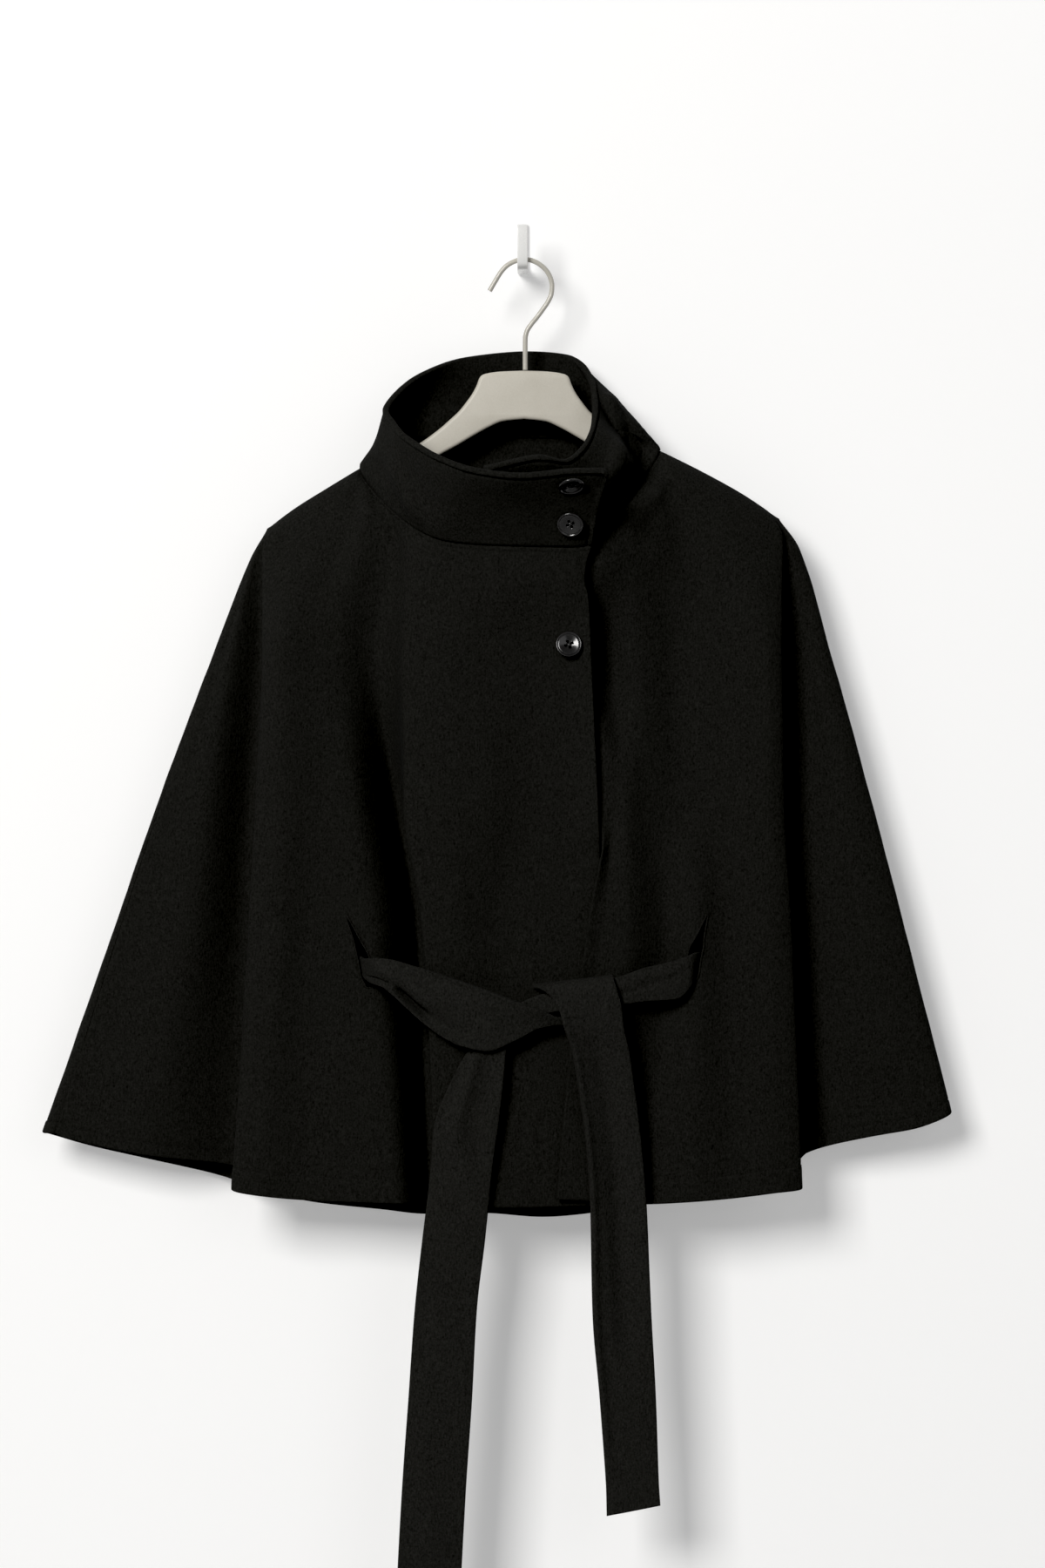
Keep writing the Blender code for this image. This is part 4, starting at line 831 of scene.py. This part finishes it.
def sewTogether():
    rightCount, leftCount, last = len(rightPlaces), len(leftPlaces), len(collar.grid) - 1
    rightArm = len(rightTops) - rightCount
    leftArm = len(back.grid) - (len(leftTops) - leftCount + 1)
    # a panel and its columns, and the panel and the columns that they are sewn to
    seams = {
        "neckRight": (frontRight, np.arange(rightCount), collar, np.arange(rightCount)),
        "neckLeft": (frontLeft, np.arange(leftCount), collar, np.arange(last, last - leftCount, -1)),
        "neckBack": (back, np.arange(rightArm, leftArm + 1),
                     collar, np.arange(rightCount - 1, last - leftCount + 2)),
        "armRight": (frontRight, np.arange(rightCount - 1, len(rightTops)),
                     back, np.arange(rightArm, -1, -1)),
        "armLeft": (frontLeft, np.arange(leftCount - 1, len(leftTops)),
                    back, np.arange(leftArm, len(back.grid))),
    }
    shared = {name: sew(*seam) for name, seam in seams.items()}
    # the three pieces that meet at a neck point share one direction there
    for side, end in (("Right", 0), ("Left", -1)):
        onArm, onNeck = shared["arm" + side], shared["neck" + side]
        onArm[0] = unitOf(unitOf(onArm[0]) + unitOf(onNeck[-1]))
        onNeck[-1] = shared["neckBack"][end] = onArm[0]
    for name, (first, firstColumns, second, secondColumns) in seams.items():
        for panel, columns in ((first, firstColumns), (second, secondColumns)):
            away = edgeDistances(panel.grid)["top"][columns]
            weight = np.exp(-(away / cloth["mitre"]) ** 2)[..., None]
            panel.offset[columns] = panel.offset[columns] * (1 - weight) + shared[name][:, None] * weight


frontRight.press(rightSide["creases"], 1)
frontLeft.press(leftSide["creases"], 1)
back.press((), -1)
collar.press(neck["creases"], 1)
sewTogether()

walls = {}
stitchShape = bmesh.new()
backOnNeck = np.zeros((len(back.grid), 1), bool)
rightArm = len(rightTops) - len(rightPlaces)
backOnNeck[rightArm:rightArm + len(backNeck) + 2] = True
for name, panel, onNeck, free, sewn in (
        ("front_right", frontRight, (rightTops <= 1)[:, None], ("first", "bottom"), ("top", "last")),
        ("front_left", frontLeft, (leftTops <= 1)[:, None], ("first", "bottom"), ("top", "last")),
        ("back", back, backOnNeck, ("bottom",), ("top", "first", "last"))):
    inner, outer = thicken(panel, cloth["thick"], free, sewn, hem=True)
    drawn = groove(panel, "top", cloth["topstitch"], cloth["groove"]) * onNeck
    drawn = drawn + groove(panel, "bottom", cloth["bodyHem"], cloth["groove"])
    outer = outer + panel.offset * drawn[..., None]
    walls[name] = (inner, outer)
    columns = np.flatnonzero(onNeck[:, 0])
    addStitches(stitchShape, outer[columns], panel.offset[columns], "top", cloth["topstitch"])
    addStitches(stitchShape, outer, panel.offset, "bottom", cloth["bodyHem"] * panel.hemScale)
inner, outer = thicken(collar, cloth["collarThick"], ("first", "last", "bottom"), ("top",))
drawn = rim(collar, "bottom") + rim(collar, "first")
walls["collar"] = (inner, outer + collar.offset * drawn[..., None])
for edge in ("bottom", "first"):
    addStitches(stitchShape, walls["collar"][1], collar.offset, edge, cloth["rimStitch"])

# the cloth mesh of each panel, by name
panels = {}
for name, (inner, outer) in walls.items():
    made = clothMesh(name + "_cloth", inner, outer, finish["wool"])
    takePlace(made, "wool", name)
    panels[name] = made
print("panels done")


def treeOf(piece):
    return BVHTree.FromObject(piece, bpy.context.evaluated_depsgraph_get())


def hitFromFront(tree, x, z):
    # where a ray from well in front of the cloth meets it, in metres, and the way the cloth faces there
    hit, normal, _, _ = tree.ray_cast(Vector((x * mm, -0.4, z * mm)), Vector((0, 1, 0)))
    return hit, normal


def cutAway(piece, cutter):
    modifier = piece.modifiers.new("cut", "BOOLEAN")
    modifier.operation, modifier.solver, modifier.object = "DIFFERENCE", "EXACT", cutter
    with bpy.context.temp_override(object=piece):
        bpy.ops.object.modifier_apply(modifier=modifier.name)
    bpy.data.objects.remove(cutter)


def newCurve(name, dimensions, points, bevel, fineness, closed):
    curve = bpy.data.curves.new(name, "CURVE")
    curve.dimensions = dimensions
    curve.bevel_depth = bevel * mm
    curve.bevel_resolution = fineness
    spline = curve.splines.new("POLY")
    spline.points.add(len(points) - 1)
    spline.use_cyclic_u = closed
    for point, at in zip(spline.points, points):
        point.co = (*(value * mm for value in at), 1)
    return curve


def meshFromCurve(name, curve, settle, material, sharpAngle):
    holder = addObject(name, curve)
    bpy.context.view_layer.update()
    data = bpy.data.meshes.new_from_object(holder.evaluated_get(bpy.context.evaluated_depsgraph_get()))
    bpy.data.objects.remove(holder)
    shape = bmesh.new()
    shape.from_mesh(data)
    bmesh.ops.remove_doubles(shape, verts=shape.verts[:], dist=1e-6)
    bmesh.ops.transform(shape, matrix=settle, verts=shape.verts[:])
    bmesh.ops.recalc_face_normals(shape, faces=shape.faces[:])
    return finishMesh(name, shape, material, sharpAngle)


# the cut runs from front to behind; the welt's radius, roundness and how far out it lies
slitCut = {"steps": 44, "front": -150, "behind": -60, "welt": 1.0, "weltRound": 3, "weltOut": 0.35}


def slitLoop(rows, spread=0.0):
    # the leaf-shaped outline, x and z
    rows = np.array(rows, float)
    z = np.linspace(rows[0, 0], rows[-1, 0], slitCut["steps"])
    middle, wide = smoothRows(-rows[:, 0], rows[:, 1:], -z).T
    wide = wide + spread
    return np.vstack([np.column_stack([middle + wide, z]), np.column_stack([middle - wide, z])[::-1]])


def openSlit(piece, name, rows):
    shape = bmesh.new()
    verts = [shape.verts.new((x * mm, slitCut["front"] * mm, z * mm)) for x, z in slitLoop(rows)]
    face = shape.faces.new(verts)
    made = bmesh.ops.extrude_face_region(shape, geom=[face])
    deep = [v for v in made["geom"] if isinstance(v, bmesh.types.BMVert)]
    bmesh.ops.translate(shape, verts=deep, vec=(0, (slitCut["behind"] - slitCut["front"]) * mm, 0))
    bmesh.ops.recalc_face_normals(shape, faces=shape.faces[:])
    tree = treeOf(piece)
    # the edge is bound with a thin welt
    line = []
    for x, z in slitLoop(rows, slitCut["weltOut"]):
        hit, normal = hitFromFront(tree, x, z)
        line.append(np.array(hit) / mm - np.array(normal) * slitCut["weltOut"])
    cutAway(piece, finishMesh("slitCutter", shape, finish["wool"], sharp["cloth"]))
    curve = newCurve(name, "3D", line, slitCut["welt"], slitCut["weltRound"], closed=True)
    welt = meshFromCurve(name, curve, Matrix.Identity(4), finish["wool"], sharp["cloth"])
    takePlace(welt, "wool")


for side in ("right", "left"):
    openSlit(panels["front_" + side], "slit_welt_" + side, sides[side]["slit"])
print("slits done")

# the stretches of the belt, in mm: one edge x, depth, z; the other edge x, depth, z; how far the middle
# stands out; flat is the cut's width, length and area in metres; facing turns the outer side to the front;
# creases: width, height, then how far along the stretch and how far in from its first edge
sling = {
    "rows": (
        (-145.5, 68, -599,  -143.5, 68, -615,  0),
        (-140, 73.5, -600,  -137.5, 73.5, -616,  0),
        (-135.5, 81, -602,  -133, 81, -621,  0),
        (-131, 89, -602,  -127.5, 88.5, -624,  0),
        (-124, 95, -601.5,  -118.5, 94.5, -626,  -1),
        (-113, 98.5, -602.5,  -109.5, 97, -633,  -1),
        (-91, 101, -608.5,  -81, 101, -658.5,  -1.5),
        (-64, 103.5, -617,  -54, 104, -675.5,  -1),
        (-30, 107, -628.5,  -31, 104.5, -680,  0),
        (-3, 108.5, -639,  -9, 103, -672,  1.5),
        (17, 107, -646.5,  13, 101.5, -661,  1),
        (30, 103, -651,  29, 101, -658,  0),
        (41, 99.5, -650,  43, 99.2, -660,  0),
    ),
    "flat": (0.052, 0.211, 0.0086), "facing": -1,
    # the upper layer's fold, the hollow below it, a fine line, the lower edge's lip, the dip above it
    # and the lit upper edge: width, height, then x, z along them
    "laid": (
        (6, 3.6, (-128, -610), (-112, -615), (-101, -620), (-92, -627), (-80, -636), (-64, -647)),
        (2.7, -9, (-108.5, -626.5), (-102.5, -632), (-95.5, -638.5), (-88, -645), (-80, -651)),
        (1.1, -1.6, (-132, -617), (-122, -619), (-112, -624)),
        (2.4, 2.4, (-126, -622.5), (-113, -629), (-105, -635.5), (-96, -645.5), (-84.7, -655.5),
         (-68, -666.5), (-53, -674.5), (-38, -678)),
        (5, -2, (-88, -646), (-74, -655), (-60, -662), (-44, -666)),
        (1.8, 1.1, (-96, -609), (-64, -619), (-30, -630), (-6, -640)),
    ),
}
loop = {
    "rows": (
        (36, 99.2, -645,  77, 99.2, -652,  0),
        (25, 99.6, -635,  76, 99.6, -634,  0),
        (11, 101.2, -629.5,  75, 101, -621,  0),
        (6.5, 105, -625.5,  75, 105, -617,  0),
        (10, 109, -626.5,  76, 109.4, -620.5,  0),
        (20, 110.5, -631.5,  79, 111, -630.5,  1),
        (28.5, 110.5, -643.5,  82, 111, -642,  1.5),
        (34, 109.5, -662,  84, 110, -660,  2),
        (39.5, 106.5, -677,  88, 107.5, -677,  2),
        (46.6, 102, -717,  94, 103, -717,  2),
        (52, 99.5, -758,  99, 100, -758,  1.5),
        (55.5, 97.5, -808,  103, 98, -808,  1),
        (57.5, 96, -899,  107, 96.5, -899,  1.5),
        (63.6, 95.5, -973,  111, 96, -973,  1),
        (69, 95, -1050,  113.5, 96, -1045,  1),
        (69.5, 95, -1072,  114.7, 96, -1063,  1),
    ),
    "flat": (0.055, 0.491, 0.0245), "facing": 1,
    "creases": (
        (3.4, 3, (38, 3.5), (137, 3.5), (320, 3.5), (480, 3.5)),
        (12, -7, (58, 21), (100, 23), (190, 23), (290, 26), (370, 30)),
    ),
}
strap = {
    "rows": (
        (153, 70, -597,  151.5, 70, -612,  0),
        (149.5, 79, -597,  148, 79, -614,  0),
        (144.5, 90, -597,  143, 90, -618,  0),
        (137, 95, -600,  139, 94, -627,  1),
        (124, 97.5, -604.5,  128, 96.5, -636.5,  1),
        (101.4, 101, -609.5,  101.4, 100.5, -638.4,  1),
        (80, 104, -617,  80, 103.5, -641,  0),
        (60, 105, -622,  60, 104.5, -642,  0),
        (40, 105, -626,  38, 104.5, -645,  0),
        (22, 104, -629.5,  17, 102.5, -649,  0),
        (3, 101.5, -636,  0, 99, -657,  0),
        (-15, 98, -647,  -11, 97.5, -665,  0),
    ),
    "flat": (0.052, 0.191, 0.0042), "facing": 1,
    "creases": ((4, 0.8, (24, 6), (60, 8), (110, 7)), (3, -0.6, (30, 12), (70, 16), (110, 14))),
}
tail = {
    "rows": (
        (-17, 98, -653,  -12.5, 97.5, -668,  0),
        (-32, 97.5, -662,  -15, 98, -680,  0),
        (-47, 97, -679,  -16, 98, -692,  0.5),
        (-62, 97, -706,  -18, 98.5, -712,  1.5),
        (-76, 97, -744,  -21.5, 98, -742,  2),
        (-79, 96, -781,  -27, 97, -781,  2),
        (-86, 95, -839,  -33, 96, -839,  1.5),
        (-92.5, 94.5, -899,  -40, 95, -899,  1),
        (-97.7, 94, -973,  -44, 94.5, -973,  1.5),
        (-103, 93.5, -1047,  -49, 94, -1047,  1),
        (-107, 93, -1120,  -53, 93.5, -1120,  1),
        (-110, 92.5, -1190,  -56, 93, -1179,  1),
    ),
    "flat": (0.055, 0.533, 0.0262), "facing": 1,
    "creases": (
        (6, 2.6, (14, 6), (34, 9), (64, 17), (120, 22)),
        (8, -1.6, (20, 20), (60, 34), (130, 40)),
        (5, -1.4, (30, 2), (60, 4), (110, 7)),
        (10, 1.0, (300, 12), (420, 20), (500, 26)),
    ),
}
insideRun = {
    "rows": (
        (-147.5, 66, -598,  -146, 66, -616,  0),
        (-161, 54, -592,  -160, 54, -628,  0),
        (-163, 42, -588,  -163, 42, -638,  0),
        (-148, 33, -586,  -148, 33, -638,  0),
        (-110, 29, -586,  -110, 29, -638,  0),
        (0, 27, -590,  0, 27, -642,  0),
        (110, 29, -586,  110, 29, -638,  0),
        (150, 33, -585,  150, 33, -637,  0),
        (166, 42, -586,  166, 42, -636,  0),
        (165, 54, -591,  164, 54, -626,  0),
        (154, 68, -596,  153, 68, -613,  0),
    ),
    "flat": (0.052, 0.396, 0.0185), "facing": 1,
}
belt = {
    "steps": 9, "across": 44,  # grid lines for each row and across
    "fineAcross": 60,  # lines across before they are spaced
    "wave": (0.3, 24.0), "waveSeed": 3.1,  # height and size
    "parts": {"sling": sling, "loop": loop, "strap": strap, "tail": tail, "back": insideRun},
}


def beltGrid(part):
    table = np.array(part["rows"], float)
    count = len(table)
    middle = (table[:, :3] + table[:, 3:6]) / 2
    firstStep, lastStep = np.linalg.norm(middle[1] - middle[0]), np.linalg.norm(middle[-1] - middle[-2])
    ends = [np.array(edgeSteps) / firstStep, count - 1 - np.array(edgeSteps) / lastStep]
    at = np.union1d(np.linspace(0, count - 1, (count - 1) * belt["steps"] + 1), np.concatenate(ends))
    found = smoothRows(range(count), table, at)
    one, other = place(*found[:, :3].T), place(*found[:, 3:6].T)
    shares = np.linspace(0, 1, belt["fineAcross"])
    grid = one[:, None] * (1 - shares)[None, :, None] + other[:, None] * shares[None, :, None]
    normal = unitOf(np.cross(np.gradient(grid, axis=0), other[:, None] - one[:, None]))
    stand = found[:, 6][:, None] * (1 - (2 * shares - 1) ** 2)[None, :]
    grid = grid + normal * stand[:, :, None]
    return spaceDown(grid, edgeSteps, edgeSteps, np.ones(len(grid)), belt["across"])


for name, part in belt["parts"].items():
    panel = Panel(beltGrid(part), np.zeros(3))
    panel.offset = panel.offset * part["facing"]
    away = edgeDistances(panel.grid)
    height = relief(away["first"], away["top"], part.get("creases", ()))
    height = height + relief(panel.grid[..., 0], panel.grid[..., 2], part.get("laid", ()))
    height = height + uneven(panel.grid, *belt["wave"], belt["waveSeed"] + len(name))
    panel.grid = panel.grid + panel.offset * height[..., None]
    inner, outer = thicken(panel, cloth["beltThick"], ("first", "last", "top", "bottom"), ())
    # the belt's pieces take the lighter copy of the wool, which is painted light
    made = clothMesh("belt_" + name + "_cloth", inner, outer, finish["belt"])
    takePlace(made, "wool", "belt_" + name)
print("belt done")

takePlace(finishMesh("stitching", stitchShape, finish["thread"], sharp["thread"]), "wool")
print("stitches done")

button = {
    "steps": 64, "holes": 4, "hole": 1.15, "holesAt": 2.5, "firstHole": 22,
    "drill": (1, 6), "round": 16,  # its middle's height and its depth; sides of the drill and the shank
    # x, z on the turned profile, from the back's middle round the rim to the front's middle
    "profile": ((0, 0), (7.6, 0), (9.2, 0.25), (10.3, 0.8), (10.9, 1.5), (11.0, 2.0), (10.85, 2.45),
                (10.5, 2.75), (10.05, 2.85), (9.65, 2.7), (9.4, 2.35), (9.15, 2.2), (8.9, 2.3), (8.55, 2.5),
                (8.0, 2.42), (6.5, 2.1), (4.5, 1.45), (2.5, 1.0), (0, 0.95)),
    # two threads side by side through each pair of holes, and the shank that they make below
    "thread": {"aside": 0.3, "height": 1.05, "width": 0.2, "past": 0.5, "thick": 0.22},
    "shank": {"top": 2.0, "foot": 2.2, "past": 0.8},
    # the panel below, x, z, how far it stands off the cloth, the way it faces
    "spots": {
        "button_1": ("collar", 39.0, -204.0, 2.7, (0.12, -0.51, -0.85)),
        "button_2": ("collar", 38.6, -236.0, 2.4, (-0.12, -0.87, -0.48)),
        "button_3": ("front_right", 37.7, -337.4, 2.6, (0.02, -0.97, 0.22)),
    },
}


def addButton(name, tree, x, z, stand, facing, b=button):
    centre, below = hitFromFront(tree, x, z)
    turn = Vector(facing).normalized().to_track_quat("Z", "Y").to_matrix().to_4x4()
    settle = Matrix.Translation(centre + below * stand * mm) @ turn
    shape = bmesh.new()
    verts = [shape.verts.new((x * mm, 0, z * mm)) for x, z in b["profile"]]
    edges = [shape.edges.new(pair) for pair in zip(verts[:-1], verts[1:])]
    bmesh.ops.spin(shape, geom=verts + edges, cent=(0, 0, 0), axis=(0, 0, 1), angle=2 * math.pi,
                   steps=b["steps"], use_merge=True)
    bmesh.ops.remove_doubles(shape, verts=shape.verts[:], dist=1e-6)
    bmesh.ops.recalc_face_normals(shape, faces=shape.faces[:])
    made = finishMesh(name + "_disc", shape, finish["button"], sharp["button"])
    drills = bmesh.new()
    height, depth = b["drill"]
    for k in range(b["holes"]):
        angle = math.radians(b["firstHole"] + 360 / b["holes"] * k)
        spot = (b["holesAt"] * math.cos(angle) * mm, b["holesAt"] * math.sin(angle) * mm, height * mm)
        bmesh.ops.create_cone(drills, cap_ends=True, segments=b["round"], radius1=b["hole"] * mm,
                              radius2=b["hole"] * mm, depth=depth * mm, matrix=Matrix.Translation(spot))
    cutAway(made, finishMesh("buttonDrills", drills, finish["button"], sharp["button"]))
    made.data.transform(settle)
    takePlace(made, "buttons", name)
    t, shank = b["thread"], b["shank"]
    thread = bmesh.new()
    at = b["holesAt"] * math.sqrt(0.5)
    aside = Matrix.Rotation(math.radians(b["firstHole"] - 45), 4, "Z")
    size = Matrix.Diagonal((t["width"] * mm, (at + t["past"]) * mm, t["thick"] * mm, 1))
    for x in (-at, at):
        for shift in (-t["aside"], t["aside"]):
            lie = Matrix.Translation(((x + shift) * mm, 0, t["height"] * mm)) @ size
            bmesh.ops.create_icosphere(thread, subdivisions=2, radius=1, matrix=aside @ lie)
    bmesh.ops.create_cone(thread, cap_ends=True, segments=b["round"], radius1=shank["foot"] * mm,
                          radius2=shank["top"] * mm, depth=(stand + shank["past"]) * mm,
                          matrix=Matrix.Translation((0, 0, -stand / 2 * mm)))
    bmesh.ops.transform(thread, matrix=settle, verts=thread.verts[:])
    takePlace(finishMesh(name + "_thread", thread, finish["thread"], sharp["thread"]), "buttons")


trees = {name: treeOf(panels[name]) for name in ("collar", "front_right")}
for name, (below, *spot) in button["spots"].items():
    addButton(name, trees[below], *spot)
print("buttons done")

hanger = {
    "depth": 43.5, "thick": 8, "bevel": 3, "bevelSteps": 5, "steps": 6,
    # half of the outline from the middle of the top to the tip and back underneath, x, z
    "top": ((0, -102.6), (20, -103.4), (34, -105.6), (37.5, -107.8), (41, -116), (44.5, -122.5),
            (49.5, -129.5), (55.5, -137), (63.5, -144.5), (72, -152), (90, -165), (120, -180.5),
            (150, -197.5), (180, -216), (198, -227), (205, -233)),
    "under": ((206, -239), (202, -244.5), (194, -245.5), (170, -234), (140, -217.5), (100, -193),
              (71, -174), (58, -167), (44.5, -159), (31, -151.5), (18, -146), (0, -144)),
}
hook = {
    "radius": 2.1, "bevelSteps": 5, "steps": 5, "depth": 43.5,
    "line": ((0.8, -102), (0.8, -92), (0.8, -82), (0.9, -75), (2.2, -69), (5.6, -63.5), (10.8, -57),
             (16, -50), (20.4, -43.4), (23.2, -36.5), (23.7, -30), (22.4, -23.8), (19.4, -18),
             (15, -13.4), (9.4, -9.8), (3.2, -8), (-3.2, -8), (-9.2, -9.8), (-14.8, -13),
             (-19.4, -17.8), (-23.2, -23.6), (-26.6, -29.4), (-29.6, -34.6)),
}
wallHook = {
    "thick": 9, "x": -1.5, "bevel": 0.7, "bevelSteps": 5, "steps": 3,
    # from the side: depth, z round its outline
    "outline": ((0, 27), (2.6, 26), (3.4, -8), (7, -11.2), (38, -11.8), (44.5, -11.7), (47.4, -9.8),
                (48, -4), (48.4, 19), (49.8, 21.4), (51.8, 19.4), (52.4, -6), (50.8, -13), (45, -16.2),
                (6, -16.6), (0, -15)),
}


def roundLine(points, steps, closed=False):
    # a smooth line through points, with no overshoot
    points = np.array(points, float)
    if closed:
        points = np.vstack([points, points[:1]])
    along = lengthsAlong(points)
    found = smoothRows(along, points, stepped(along, [steps] * (len(points) - 1)))
    return found[:-1] if closed else found


def plateMesh(name, outline, sizes, settle, material):
    # a flat plate with rounded edges, from its outline
    points = [(x, z, 0) for x, z in outline]
    curve = newCurve(name, "2D", points, sizes["bevel"], sizes["bevelSteps"], closed=True)
    curve.fill_mode = "BOTH"
    curve.extrude = (sizes["thick"] / 2 - sizes["bevel"]) * mm
    curve.offset = -sizes["bevel"] * mm
    return meshFromCurve(name, curve, settle, material, sharp["hard"])


half = np.vstack([roundLine(hanger["top"], hanger["steps"]), roundLine(hanger["under"], hanger["steps"])])
whole = np.vstack([half, half[-2:0:-1] * (-1, 1)])
upright = Matrix.Rotation(math.pi / 2, 4, "X")
settle = Matrix.Translation((0, -hanger["depth"] * mm, 0)) @ upright
takePlace(plateMesh("hanger_board", whole, hanger, settle, finish["hanger"]), "hanger", "hanger")

line = [(x, -hook["depth"], z) for x, z in roundLine(hook["line"], hook["steps"])]
curve = newCurve("hanger_wire", "3D", line, hook["radius"], hook["bevelSteps"], closed=False)
curve.use_fill_caps = True
wire = meshFromCurve("hanger_wire", curve, Matrix.Identity(4), finish["hook"], sharp["hard"])
takePlace(wire, "hook_wire", "hanger_hook")

outline = [(-depth, z) for depth, z in roundLine(wallHook["outline"], wallHook["steps"], closed=True)]
settle = Matrix.Translation((wallHook["x"] * mm, 0, 0)) @ Matrix.Rotation(math.pi / 2, 4, "Z") @ upright
plate = plateMesh("wall_hook_plate", outline, wallHook, settle, finish["wallHook"])
takePlace(plate, "wall_hook", "wall_hook")
print("hanger and hooks done")
